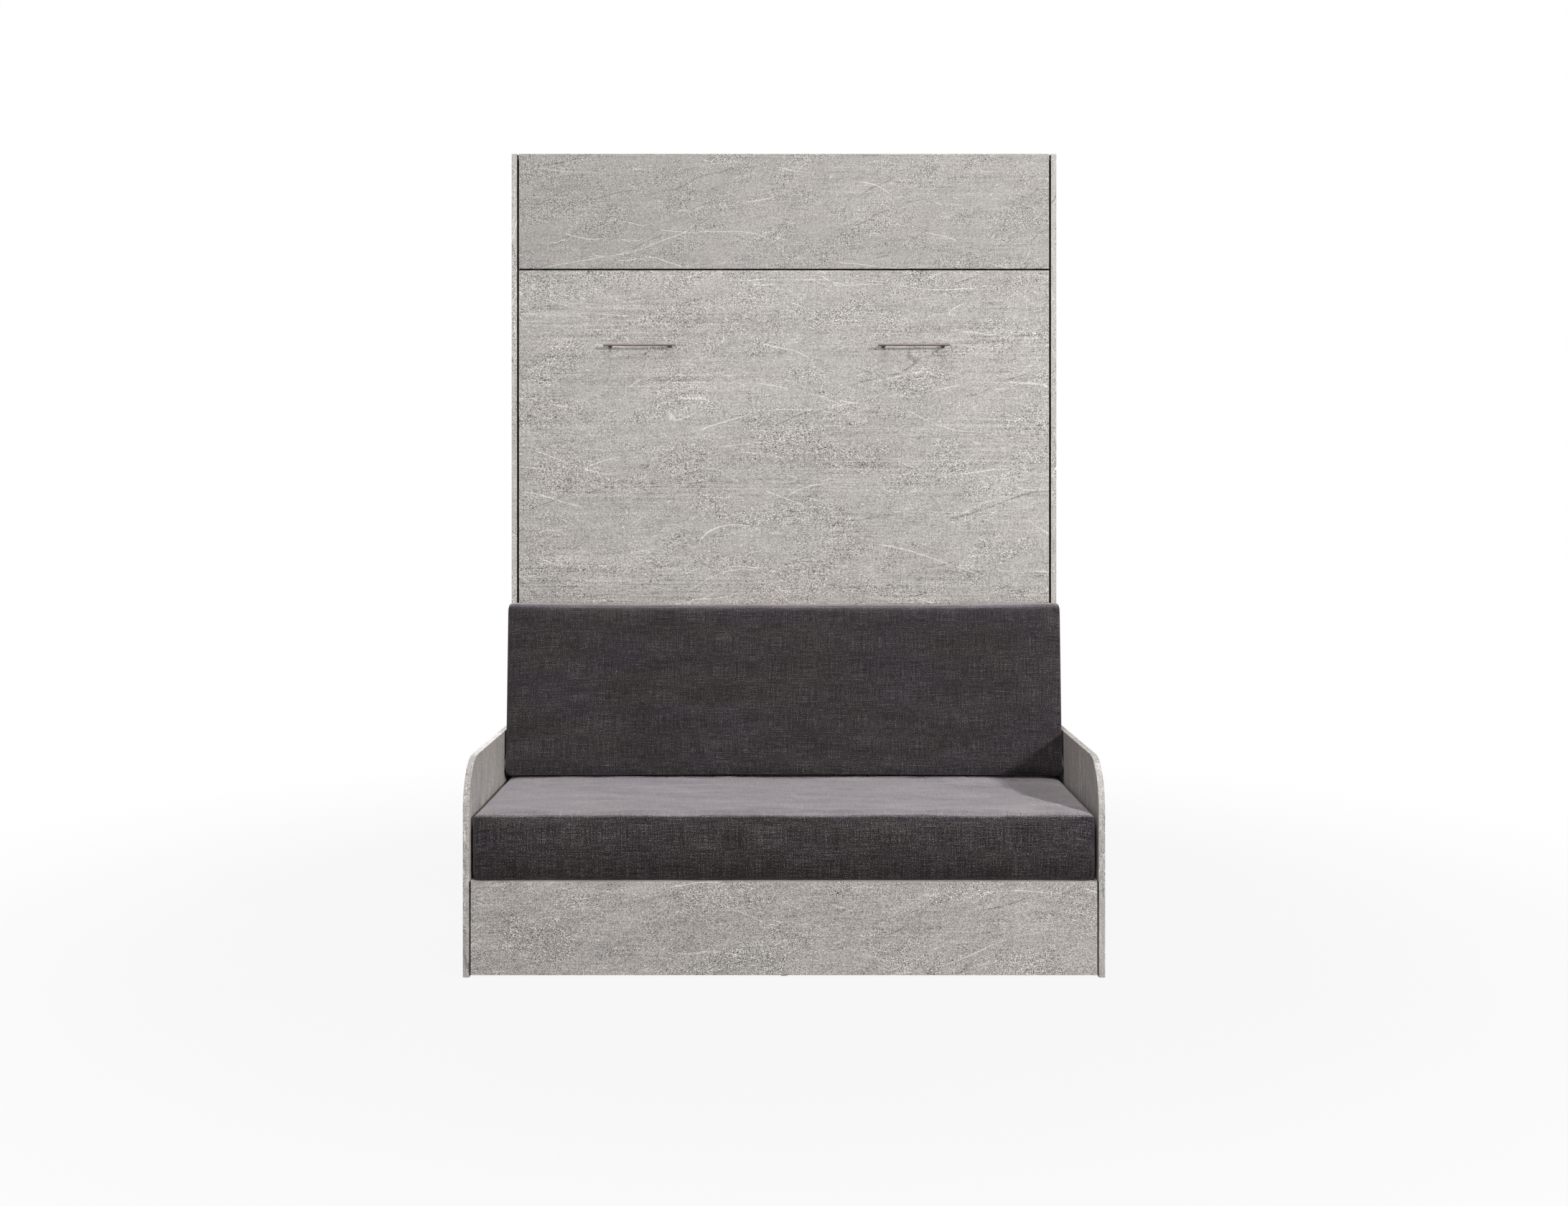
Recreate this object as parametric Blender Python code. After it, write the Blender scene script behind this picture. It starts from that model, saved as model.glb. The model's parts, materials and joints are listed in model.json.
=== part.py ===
"""A wall bed that folds down over a sofa, as separate named pieces.

The bed stands upright in a cabinet against the wall. A main panel and a header, both
fixed to the bed's steel frame, close the cabinet. In front of it stands a sofa with two
board arms. The bed turns about two pins low in the cabinet sides. As it comes down, the
backrest folds flat on the seat, two steel legs stay plumb and land on the floor, and two
gas struts are pressed in.

Metres. X runs left to right, Y from the sofa towards the wall, Z up. The origin is on the
floor, in the middle of the object's outline. The bed is modelled closed.
"""

import math

import bmesh
import bpy
from mathutils import Matrix, Vector

for old in list(bpy.data.objects):
    bpy.data.objects.remove(old, do_unlink=True)

# Clearances and roundness

FIT = 0.0003
OVERRUN = 0.002
EDGE_ROUND = 0.0008
EDGE_STEPS = 2
ROUND_STEPS = 20
SMALL_ROUND_STEPS = 12
CORNER_STEPS = 12
SMOOTH_ANGLE = math.radians(40)

# Boards and sheets

BOARD = 0.016
BACK_SHEET = 0.003

# Mattress and the frame it lies in

MATTRESS_WIDTH = 1.40
MATTRESS_LENGTH = 2.00
MATTRESS_THICKNESS = 0.16
MATTRESS_EDGE = 0.020
MATTRESS_RAIL_GAP = 0.003
RAIL_WIDTH = 0.025
RAIL_DEPTH = 0.050
RAIL_WALL = 0.0015
RAIL_OVERHANG = 0.005
SLAT_SPACE = 0.026
SLAT_THICKNESS = 0.008
SLAT_WIDTH = 0.053
SLAT_COUNT = 14
SLAT_END_GAP = 0.005
SLAT_RIBBON_WIDTH = 0.025
SLAT_RIBBON_THICKNESS = 0.0015
SLAT_RIBBON_X = 0.450
LEDGE_WIDTH = 0.020
LEDGE_THICKNESS = 0.003
BAR_HEIGHT = 0.025
BEAM_WIDTH = 0.040

# Cabinet, built round the bed

HARDWARE_SPACE = 0.046
HEAD_ROOM = 0.029
HEAD_OVERHANG = 0.392
SWEEP_CLEARANCE = 0.004
HEADER_HEIGHT = 0.334
SPLIT_GAP = 0.0035
SIDE_GAP = 0.005
TOP_SETBACK = 0.002
RAIL_BOARD_HEIGHT = 0.120
LOWER_BOARD_DROP = 0.047
LOWER_BOARD_LIFT = 0.030
REAR_RAIL_LIFT = 0.020
BACK_MARGIN = 0.001
BACK_SPLIT_HEIGHT = 1.050
STRIP_FLANGE = 0.0012
STRIP_HALF_HEIGHT = 0.008
STRIP_WEB = 0.0018

# Sofa

SOFA_REACH = 0.657
ARM_HEIGHT = 0.5425
ARM_CORNER = 0.125
ARM_OVERLAP = 0.110
PLATFORM_HEIGHT = 0.240
FRONT_BOARD_LIFT = 0.006
BASE_SIDE_GAP = 0.0035
SEAT_THICKNESS = 0.1717
SEAT_FRONT_SETBACK = 0.002
SEAT_REAR_SETBACK = 0.060
SEAT_SIDE_GAP = 0.004
SEAT_EDGE = 0.016
SEAT_CROWN = 0.008
SEAT_DRAW_IN = 0.003
REAR_BOARD_SETBACK = 0.006
CLEAT = 0.020
CLEAT_MARGIN = 0.040
BACKREST_HEIGHT = 0.484
BACKREST_THICKNESS = 0.100
BACKREST_EDGE = 0.030
BACKREST_CROWN = 0.004
BACKREST_DRAW_IN = 0.002
BACKREST_LEAN = math.radians(5)
BACKREST_SEAT_GAP = 0.005
BACKREST_PANEL_GAP = 0.0027
BACKREST_BOARD = 0.012
BACKREST_BOARD_MARGIN = 0.025
FOLD_CLEARANCE = 0.015

# Hinges

PIVOT_SETBACK = 0.015
PIN_RADIUS = 0.006
RUNNING_GAP = 0.0003
BUSH_WALL = 0.0032
BUSH_FLANGE_RADIUS = 0.0125
BUSH_FLANGE = 0.0015
LUG_RADIUS = 0.016
LUG_CLEARANCE = 0.012
PIVOT_PLATE = 0.003
PIVOT_PLATE_ABOVE = 0.090
PIVOT_PLATE_WIDTH = 0.056
PIVOT_PLATE_SETBACK = 0.004
BRACKET_PLATE = 0.004
BRACKET_HEIGHT = 0.200
BRACKET_HEEL = 0.060
HINGE_PLATE = 0.002
HINGE_PLATE_HEIGHT = 0.110
BUSH_BLIND_WALL = 0.0035

# Gas struts, given from the bed's pivot

STRUT_TOP = Vector((0.075, 0.403))
STRUT_FOOT = Vector((0.052, -0.108))
STRUT_INSET = 0.025
CYLINDER_RADIUS = 0.011
CYLINDER_LENGTH = 0.305
CYLINDER_END_WALL = 0.030
CYLINDER_NECK_RADIUS = 0.0045
ROD_RADIUS = 0.005
ROD_INSERTION = 0.050
EYE_WIDTH = 0.009
STRUT_PLATE_WIDTH = 0.040
STRUT_PLATE_HEIGHT = 0.060
STUD_PAST_EYE = 0.002

# Legs

LEG_THICKNESS = 0.003
LEG_WIDTH = 0.040
LEG_WALL_GAP = 0.001
LEG_PIVOT_DROP = 0.155
LEG_SPACER_RADIUS = 0.010
LEG_FLOOR_GAP = 0.0005
FOOT_HEIGHT = 0.012
FOOT_WIDTH = 0.050

# Handles

HANDLE_DROP = 0.2195
HANDLE_LEFT_X = -0.417
HANDLE_RIGHT_X = 0.375
HANDLE_LENGTH = 0.208
HANDLE_RADIUS = 0.003
HANDLE_POST_RADIUS = 0.0028
HANDLE_POST_SPACING = 0.173
HANDLE_PROJECTION = 0.032

# Small fittings

STOP_WIDTH = 0.021
STOP_DEPTH = 0.030
STOP_DROP = 0.080
MATTRESS_STOP_WIDTH = 0.400
MATTRESS_STOP_DEPTH = 0.110
MATTRESS_STOP_PLATE = 0.003
STRAP_WIDTH = 0.040
STRAP_THICKNESS = 0.0015
STRAP_INSET = 0.320
HEAD_RADIUS = 0.007
WASHER_RADIUS = 0.014
WASHER_THICKNESS = 0.003
WALL_SCREW_SHARE = 0.65

# Sizes and places that follow from the ones above

BED_STACK = BOARD + SLAT_SPACE + SLAT_THICKNESS + MATTRESS_THICKNESS
SWEEP_RADIUS = math.hypot(BED_STACK - PIVOT_SETBACK, HEAD_OVERHANG)
SIDE_DEPTH = PIVOT_SETBACK + SWEEP_RADIUS + SWEEP_CLEARANCE
CABINET_DEPTH = SIDE_DEPTH + FIT + BACK_SHEET
FRONT = (SOFA_REACH - CABINET_DEPTH) / 2
SOFA_FRONT = FRONT - SOFA_REACH

MATTRESS_HALF = MATTRESS_WIDTH / 2
RAIL_INNER = MATTRESS_HALF + MATTRESS_RAIL_GAP
RAIL_OUTER = RAIL_INNER + RAIL_WIDTH
INNER = RAIL_OUTER + HARDWARE_SPACE
CABINET_HALF = INNER + BOARD
PANEL_HALF = INNER - SIDE_GAP
ARM_INNER = CABINET_HALF + FIT
ARM_OUTER = ARM_INNER + BOARD

SEAT_TOP = PLATFORM_HEIGHT + FIT + SEAT_THICKNESS
FOLDED_TOP = SEAT_TOP + BACKREST_SEAT_GAP + BACKREST_THICKNESS
PIVOT_Y = FRONT + PIVOT_SETBACK
PIVOT_Z = FOLDED_TOP + FOLD_CLEARANCE + PIVOT_SETBACK
MATTRESS_LOW = PIVOT_Z - HEAD_OVERHANG
MATTRESS_HIGH = MATTRESS_LOW + MATTRESS_LENGTH
CABINET_HEIGHT = MATTRESS_HIGH + HEAD_ROOM + BOARD
TOP_UNDERSIDE = CABINET_HEIGHT - BOARD
PANEL_LOW = PIVOT_Z + LUG_RADIUS + LUG_CLEARANCE
PANEL_HIGH = CABINET_HEIGHT - HEADER_HEIGHT - SPLIT_GAP
LOWER_BOARD_TOP = PIVOT_Z - LOWER_BOARD_DROP

FRAME_FRONT = FRONT + BOARD + FIT
RAIL_REAR = FRAME_FRONT + RAIL_DEPTH
RAIL_LOW = MATTRESS_LOW - RAIL_OVERHANG
RAIL_HIGH = MATTRESS_HIGH + RAIL_OVERHANG
SLAT_FRONT = FRONT + BOARD + SLAT_SPACE
MATTRESS_FRONT = SLAT_FRONT + SLAT_THICKNESS
BAR_DEPTH = SLAT_SPACE + SLAT_THICKNESS / 2
BEAM_DEPTH = SLAT_SPACE - 2 * FIT

BACKREST_REAR = BACKREST_THICKNESS - BACKREST_EDGE
BACKREST_TOP = BACKREST_HEIGHT - BACKREST_EDGE
BACKREST_REACH = BACKREST_REAR * math.cos(BACKREST_LEAN) + BACKREST_TOP * math.sin(BACKREST_LEAN)
BACKREST_Y = FRONT - BACKREST_REACH - BACKREST_PANEL_GAP
BACKREST_Z = SEAT_TOP + BACKREST_SEAT_GAP + BACKREST_EDGE
HINGE_PLATE_OUTER = ARM_INNER - 2 * FIT - BUSH_FLANGE
BACKREST_HALF = HINGE_PLATE_OUTER - HINGE_PLATE - FIT

PIVOT_PLATE_BELOW = LOWER_BOARD_DROP - FIT
BUSH_INNER = PIN_RADIUS + RUNNING_GAP
BUSH_OUTER = BUSH_INNER + BUSH_WALL
BUSH_HOLE = BUSH_OUTER + RUNNING_GAP
STRUT_X = INNER - STRUT_INSET
STRUT_CLOSED = (STRUT_TOP - STRUT_FOOT).length
EYE_RADIUS = CYLINDER_RADIUS
EYE_HOLE = ROD_RADIUS + RUNNING_GAP
LEG_OUTER = INNER - LEG_WALL_GAP
LEG_INNER = LEG_OUTER - LEG_THICKNESS
LEG_PIVOT_Y = FRAME_FRONT + RAIL_DEPTH / 2
LEG_PIVOT_Z = MATTRESS_HIGH - LEG_PIVOT_DROP
LEG_LENGTH = PIVOT_Z + LEG_PIVOT_Y - PIVOT_Y - LEG_FLOOR_GAP

# Finishes: colour, roughness and metallic value

CONCRETE_BOARD = ((0.42, 0.40, 0.37), 0.55, 0.0)
WHITE_BOARD = ((0.62, 0.61, 0.59), 0.60, 0.0)
CHARCOAL_CLOTH = ((0.045, 0.042, 0.046), 0.95, 0.0)
MATTRESS_CLOTH = ((0.78, 0.77, 0.74), 0.95, 0.0)
STRAP_CLOTH = ((0.06, 0.06, 0.06), 0.90, 0.0)
BIRCH = ((0.62, 0.45, 0.27), 0.50, 0.0)
GREY_PAINT = ((0.20, 0.20, 0.21), 0.45, 0.6)
ZINC = ((0.56, 0.56, 0.57), 0.35, 1.0)
BRUSHED_STEEL = ((0.60, 0.59, 0.57), 0.30, 1.0)
BLACK_PAINT = ((0.02, 0.02, 0.02), 0.35, 0.4)
GREY_PLASTIC = ((0.30, 0.30, 0.30), 0.50, 0.0)
RUBBER = ((0.02, 0.02, 0.02), 0.85, 0.0)


# Helpers

def coat(obj, finish):
    """Give an object its own material."""
    colour, roughness, metallic = finish
    material = bpy.data.materials.new(obj.name)
    material.use_nodes = True
    surface = material.node_tree.nodes["Principled BSDF"]
    surface.inputs["Base Color"].default_value = (*colour, 1.0)
    surface.inputs["Roughness"].default_value = roughness
    surface.inputs["Metallic"].default_value = metallic
    obj.data.materials.append(material)


def axis_empty(name, y, z, x=0):
    """An empty on a hinge's axis, which the pieces that turn there hang on."""
    empty = bpy.data.objects.new(name, None)
    empty.location = (x, y, z)
    bpy.context.scene.collection.objects.link(empty)
    return empty


def piece(name, bm, finish, parent=None, smooth=False, edge=0):
    """Turn a bmesh into a named object with its origin in its middle."""
    bmesh.ops.recalc_face_normals(bm, faces=bm.faces)
    low = Vector([min(v.co[axis] for v in bm.verts) for axis in range(3)])
    high = Vector([max(v.co[axis] for v in bm.verts) for axis in range(3)])
    middle = (low + high) / 2
    bmesh.ops.translate(bm, verts=bm.verts, vec=-middle)
    mesh = bpy.data.meshes.new(name)
    bm.to_mesh(mesh)
    bm.free()
    if smooth:
        mesh.shade_smooth()
        mesh.set_sharp_from_angle(angle=SMOOTH_ANGLE)
    obj = bpy.data.objects.new(name, mesh)
    obj.location = middle
    bpy.context.scene.collection.objects.link(obj)
    coat(obj, finish)
    if parent:
        obj.parent = parent
        obj.matrix_parent_inverse = Matrix.Translation(-parent.location)
    if edge:
        bevel = obj.modifiers.new("edge", "BEVEL")
        bevel.width = edge
        bevel.segments = EDGE_STEPS
        bevel.limit_method = "ANGLE"
    return obj


def add_box(bm, low, high):
    """A block between two opposite corners."""
    size = Vector(high) - Vector(low)
    middle = (Vector(high) + Vector(low)) / 2
    shape = Matrix.Translation(middle) @ Matrix.Diagonal((*size, 1))
    bmesh.ops.create_cube(bm, size=1, matrix=shape)


def block(name, low, high, finish, parent=None, edge=0):
    """A single block as a piece."""
    bm = bmesh.new()
    add_box(bm, low, high)
    return piece(name, bm, finish, parent, edge=edge)


def point_on(axis, along, u, v):
    """Put an outline point (u, v) at a distance along X, Y or Z."""
    if axis == "X":
        return (along, u, v)
    if axis == "Y":
        return (u, along, v)
    return (u, v, along)


def add_prism(bm, outline, start, end, axis="X", holes=()):
    """A plate of any outline, with holes, between two planes across an axis."""
    near = []
    far = []
    edges = []
    for loop in (outline, *holes):
        first = [bm.verts.new(point_on(axis, start, u, v)) for u, v in loop]
        second = [bm.verts.new(point_on(axis, end, u, v)) for u, v in loop]
        edges += [bm.edges.new(pair) for pair in zip(first, first[1:] + first[:1])]
        near += first
        far += second
    partner = dict(zip(near, far))
    filled = bmesh.ops.triangle_fill(bm, edges=edges, use_beauty=True)
    for face in [item for item in filled["geom"] if isinstance(item, bmesh.types.BMFace)]:
        bm.faces.new([partner[corner] for corner in reversed(face.verts)])
    for edge in edges:
        a, b = edge.verts
        bm.faces.new((a, b, partner[b], partner[a]))


def add_tube(bm, low, high, wall, axis):
    """A rectangular steel tube, open at both ends."""
    spare = "XYZ".replace(axis, "")
    i, j = ("XYZ".index(letter) for letter in spare)
    k = "XYZ".index(axis)

    def corners(inset):
        u = (low[i] + inset, high[i] - inset)
        v = (low[j] + inset, high[j] - inset)
        return [(u[0], v[0]), (u[1], v[0]), (u[1], v[1]), (u[0], v[1])]

    add_prism(bm, corners(0), low[k], high[k], axis, [corners(wall)])


def arc(centre, radius, start, end, steps):
    """Points on an arc; the angles are in degrees and run from the first axis to the second."""
    angles = [math.radians(start + (end - start) * step / steps) for step in range(steps + 1)]
    return [(centre[0] + radius * math.cos(a), centre[1] + radius * math.sin(a)) for a in angles]


def circle(centre, radius, steps=ROUND_STEPS):
    """A closed circle of points."""
    return arc(centre, radius, 0, 360, steps)[:-1]


def add_turned(bm, profile, centre, axis, steps=ROUND_STEPS, ring=False):
    """Turn (radius, distance along the axis) points; a ring's profile closes on itself."""
    rows = []
    for radius, along in profile:
        count = steps if radius else 1
        turns = [2 * math.pi * step / count for step in range(count)]
        spots = [point_on(axis, along, radius * math.cos(t), radius * math.sin(t)) for t in turns]
        rows.append([bm.verts.new(Vector(centre) + Vector(spot)) for spot in spots])
    pairs = list(zip(rows, rows[1:]))
    if ring:
        pairs.append((rows[-1], rows[0]))
    for one, two in pairs:
        for step in range(steps):
            after = (step + 1) % steps
            corners = [one[step % len(one)], one[after % len(one)], two[after % len(two)], two[step % len(two)]]
            bm.faces.new(list(dict.fromkeys(corners)))


def add_rod(bm, centre, axis, radius, start, end, steps=ROUND_STEPS):
    """A plain round bar along an axis, from one distance to another."""
    add_turned(bm, [(0, start), (radius, start), (radius, end), (0, end)], centre, axis, steps)


def modified(obj, kind, tool):
    """Cut a piece with a tool, or join the tool to it."""
    tool.hide_render = True
    tool.display_type = "WIRE"
    boolean = obj.modifiers.new(kind.lower(), "BOOLEAN")
    boolean.operation = kind
    boolean.solver = "EXACT"
    boolean.object = tool
    return obj


def padding(low, high, counts, edge, crown, draw_in, crown_axis, crown_side):
    """A cushion: a block with round edges, one crowned face and sides that pull in.

    Points lie on a lattice over the block. The first and last two steps along each axis
    make the round edge, and the steps between are even.
    """
    edge_steps = 2
    middle = (Vector(low) + Vector(high)) / 2
    half = (Vector(high) - Vector(low)) / 2
    half[crown_axis] -= crown / 2
    middle[crown_axis] -= crown_side * crown / 2
    bm = bmesh.new()
    corners = {}

    def core_and_turn(axis, index):
        flat = half[axis] - edge
        last = counts[axis]
        if index < edge_steps:
            return -flat, -math.tan(math.pi / 4 * (edge_steps - index) / edge_steps)
        if index > last - edge_steps:
            return flat, math.tan(math.pi / 4 * (index - last + edge_steps) / edge_steps)
        return flat * (2 * (index - edge_steps) / (last - 2 * edge_steps) - 1), 0

    def corner(key):
        if key not in corners:
            parts = [core_and_turn(axis, key[axis]) for axis in range(3)]
            spot = Vector([part[0] for part in parts])
            spot += edge * Vector([part[1] for part in parts]).normalized()
            share = [spot[axis] / half[axis] for axis in range(3)]
            others = [axis for axis in range(3) if axis != crown_axis]
            rise = max(0, share[crown_axis] * crown_side)
            for axis, other in (others, reversed(others)):
                pull = draw_in * (1 - share[other] ** 2)
                spot[axis] -= pull * share[axis] ** 3
            dome = (1 - share[others[0]] ** 4) * (1 - share[others[1]] ** 2)
            spot[crown_axis] += crown_side * crown * rise * dome
            corners[key] = bm.verts.new(middle + spot)
        return corners[key]

    for axis in range(3):
        first, second = [other for other in range(3) if other != axis]
        for end in (0, counts[axis]):
            for i in range(counts[first]):
                for j in range(counts[second]):
                    keys = []
                    for di, dj in ((0, 0), (1, 0), (1, 1), (0, 1)):
                        key = [0, 0, 0]
                        key[axis] = end
                        key[first] = i + di
                        key[second] = j + dj
                        keys.append(corner(tuple(key)))
                    bm.faces.new(keys)
    return bm


# Hinge axes

bed_axis = axis_empty("bed_axis", PIVOT_Y, PIVOT_Z)
backrest_axis = axis_empty("backrest_axis", BACKREST_Y, BACKREST_Z)


# Cabinet

def cabinet_boards():
    """The fixed case: sides, top, rails and the board behind the sofa."""
    rear = FRONT + SIDE_DEPTH
    for name, sign in (("left", -1), ("right", 1)):
        low = (min(sign * INNER, sign * CABINET_HALF), FRONT, 0)
        high = (max(sign * INNER, sign * CABINET_HALF), rear, CABINET_HEIGHT)
        block(f"cabinet_side_{name}", low, high, CONCRETE_BOARD, edge=EDGE_ROUND)
    between = INNER - FIT
    top_front = FRONT + BOARD + TOP_SETBACK
    block("cabinet_top", (-between, top_front, TOP_UNDERSIDE), (between, rear, CABINET_HEIGHT), CONCRETE_BOARD)
    wall_rail_high = TOP_UNDERSIDE - FIT
    wall_rail_low = wall_rail_high - RAIL_BOARD_HEIGHT
    block("wall_rail", (-between, rear - BOARD, wall_rail_low), (between, rear, wall_rail_high), WHITE_BOARD)
    rear_high = REAR_RAIL_LIFT + RAIL_BOARD_HEIGHT
    block("rear_rail", (-between, rear - BOARD, REAR_RAIL_LIFT), (between, rear, rear_high), WHITE_BOARD)
    low = (-between, FRONT, LOWER_BOARD_LIFT)
    high = (between, FRONT + BOARD, LOWER_BOARD_TOP)
    block("lower_front_board", low, high, CONCRETE_BOARD, edge=EDGE_ROUND)


def cabinet_back():
    """Two hardboard sheets over the rear edges, and the strip that covers their joint."""
    front = FRONT + SIDE_DEPTH + FIT
    rear = front + BACK_SHEET
    half = CABINET_HALF - BACK_MARGIN
    gap = STRIP_WEB / 2 + FIT
    bottom = REAR_RAIL_LIFT
    block("back_sheet_lower", (-half, front, bottom), (half, rear, BACK_SPLIT_HEIGHT - gap), WHITE_BOARD)
    top = CABINET_HEIGHT - BACK_MARGIN
    block("back_sheet_upper", (-half, front, BACK_SPLIT_HEIGHT + gap), (half, rear, top), WHITE_BOARD)
    face = front - FIT
    web = STRIP_WEB / 2
    low = BACK_SPLIT_HEIGHT - STRIP_HALF_HEIGHT
    high = BACK_SPLIT_HEIGHT + STRIP_HALF_HEIGHT
    outline = [
        (face - STRIP_FLANGE, low),
        (face, low),
        (face, BACK_SPLIT_HEIGHT - web),
        (rear, BACK_SPLIT_HEIGHT - web),
        (rear, BACK_SPLIT_HEIGHT + web),
        (face, BACK_SPLIT_HEIGHT + web),
        (face, high),
        (face - STRIP_FLANGE, high),
    ]
    bm = bmesh.new()
    add_prism(bm, outline, FIT - INNER, INNER - FIT)
    piece("back_joint_strip", bm, GREY_PLASTIC)


def wall_screw(name, sign):
    """A screw with its washer, which ties the wall rail to the wall."""
    face = FRONT + SIDE_DEPTH - BOARD - FIT
    height = TOP_UNDERSIDE - FIT - RAIL_BOARD_HEIGHT / 2
    profile = [
        (0, face),
        (WASHER_RADIUS, face),
        (WASHER_RADIUS, face - WASHER_THICKNESS),
        (HEAD_RADIUS, face - WASHER_THICKNESS),
        (HEAD_RADIUS, face - 2 * WASHER_THICKNESS),
        (0, face - 2 * WASHER_THICKNESS),
    ]
    bm = bmesh.new()
    add_turned(bm, profile, (sign * WALL_SCREW_SHARE * INNER, 0, height), "Y", SMALL_ROUND_STEPS)
    piece(f"wall_screw_{name}", bm, ZINC, smooth=True)


def bed_stop(name, sign):
    """A rubber block under the top, which the closed bed's rail rests against."""
    inner = RAIL_INNER + (RAIL_WIDTH - STOP_WIDTH) / 2
    x = sorted((sign * inner, sign * (inner + STOP_WIDTH)))
    high = TOP_UNDERSIDE - FIT
    front = RAIL_REAR + FIT
    block(f"bed_stop_{name}", (x[0], front, high - STOP_DROP), (x[1], front + STOP_DEPTH, high), RUBBER)


def pivot_plate(name, sign):
    """The plate screwed to a cabinet side, with the pin that the bed turns on."""
    outer = sign * (INNER - FIT)
    inner = outer - sign * PIVOT_PLATE
    low_y = FRONT + PIVOT_PLATE_SETBACK
    low = (min(inner, outer), low_y, PIVOT_Z - PIVOT_PLATE_BELOW)
    high = (max(inner, outer), low_y + PIVOT_PLATE_WIDTH, PIVOT_Z + PIVOT_PLATE_ABOVE)
    plate = block(f"pivot_plate_{name}", low, high, GREY_PAINT)
    bm = bmesh.new()
    tip = sign * (RAIL_OUTER + 2 * FIT)
    add_rod(bm, (0, PIVOT_Y, PIVOT_Z), "X", PIN_RADIUS, tip, (inner + outer) / 2)
    pin = piece(f"pivot_pin_tool_{name}", bm, GREY_PAINT)
    modified(plate, "UNION", pin)


def strut_plate(name, sign):
    """The plate on a cabinet side that a gas strut hangs from."""
    outer = sign * (INNER - FIT)
    inner = outer - sign * PIVOT_PLATE
    y = PIVOT_Y + STRUT_TOP.x
    z = PIVOT_Z + STRUT_TOP.y
    low = (min(inner, outer), y - STRUT_PLATE_WIDTH / 2, z - STRUT_PLATE_HEIGHT / 2)
    high = (max(inner, outer), y + STRUT_PLATE_WIDTH / 2, z + STRUT_PLATE_HEIGHT / 2)
    plate = block(f"strut_plate_{name}", low, high, GREY_PAINT)
    bm = bmesh.new()
    tip = sign * (STRUT_X - EYE_WIDTH / 2 - STUD_PAST_EYE)
    add_rod(bm, (0, y, z), "X", ROD_RADIUS, tip, (inner + outer) / 2)
    modified(plate, "UNION", piece(f"strut_stud_tool_{name}", bm, GREY_PAINT))


# Sofa

def sofa_arm(name, sign):
    """A board arm with a round front corner, bolted to the outside of the cabinet side."""
    rear = FRONT + ARM_OVERLAP
    turn = (SOFA_FRONT + ARM_CORNER, ARM_HEIGHT - ARM_CORNER)
    outline = [(rear, 0), (rear, ARM_HEIGHT)]
    outline += arc(turn, ARM_CORNER, 90, 180, CORNER_STEPS)
    outline.append((SOFA_FRONT, 0))
    bm = bmesh.new()
    add_prism(bm, outline, sign * ARM_INNER, sign * ARM_OUTER)
    arm = piece(f"sofa_arm_{name}", bm, CONCRETE_BOARD)
    bm = bmesh.new()
    start = sign * (ARM_INNER - OVERRUN)
    end = sign * (ARM_OUTER - BUSH_BLIND_WALL)
    add_rod(bm, (0, BACKREST_Y, BACKREST_Z), "X", BUSH_HOLE, start, end)
    modified(arm, "DIFFERENCE", piece(f"bush_hole_tool_{name}", bm, CONCRETE_BOARD))
    bevel = arm.modifiers.new("edge", "BEVEL")
    bevel.width = EDGE_ROUND
    bevel.segments = 1
    bevel.limit_method = "ANGLE"
    bevel.angle_limit = SMOOTH_ANGLE


def add_bush(bm, sign, x_flange, y, z, depth):
    """A flanged bush: its flange's outer face lies at x_flange, and its barrel goes along sign * X."""
    flange_end = x_flange + sign * BUSH_FLANGE
    barrel_end = x_flange + sign * depth
    profile = [
        (BUSH_INNER, x_flange),
        (BUSH_FLANGE_RADIUS, x_flange),
        (BUSH_FLANGE_RADIUS, flange_end),
        (BUSH_OUTER, flange_end),
        (BUSH_OUTER, barrel_end),
        (BUSH_INNER, barrel_end),
    ]
    add_turned(bm, profile, (0, y, z), "X", ring=True)


def sofa_base():
    """The box under the seat: front and rear boards, platform, supports and cleats."""
    half = ARM_INNER - BASE_SIDE_GAP
    front_rear = SOFA_FRONT + BOARD
    low = (-half, SOFA_FRONT, FRONT_BOARD_LIFT)
    block("sofa_front_board", low, (half, front_rear, PLATFORM_HEIGHT), CONCRETE_BOARD, edge=EDGE_ROUND)
    rear_high = FRONT - REAR_BOARD_SETBACK
    rear_low = rear_high - BOARD
    under = PLATFORM_HEIGHT - BOARD - FIT
    block("sofa_rear_board", (-half, rear_low, FRONT_BOARD_LIFT), (half, rear_high, under), WHITE_BOARD)
    platform_half = ARM_INNER - 2 * FIT
    low = (-platform_half, front_rear + FIT, PLATFORM_HEIGHT - BOARD)
    block("seat_platform", low, (platform_half, rear_high, PLATFORM_HEIGHT), WHITE_BOARD)
    low = (-BOARD / 2, front_rear + FIT, 0)
    block("platform_support", low, (BOARD / 2, rear_low - FIT, under), WHITE_BOARD)
    for name, sign in (("left", -1), ("right", 1)):
        x = sorted((sign * (ARM_INNER - FIT), sign * (ARM_INNER - FIT - CLEAT)))
        low = (x[0], front_rear + CLEAT_MARGIN, under - CLEAT)
        block(f"platform_cleat_{name}", low, (x[1], rear_low - CLEAT_MARGIN, under), BIRCH)


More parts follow.
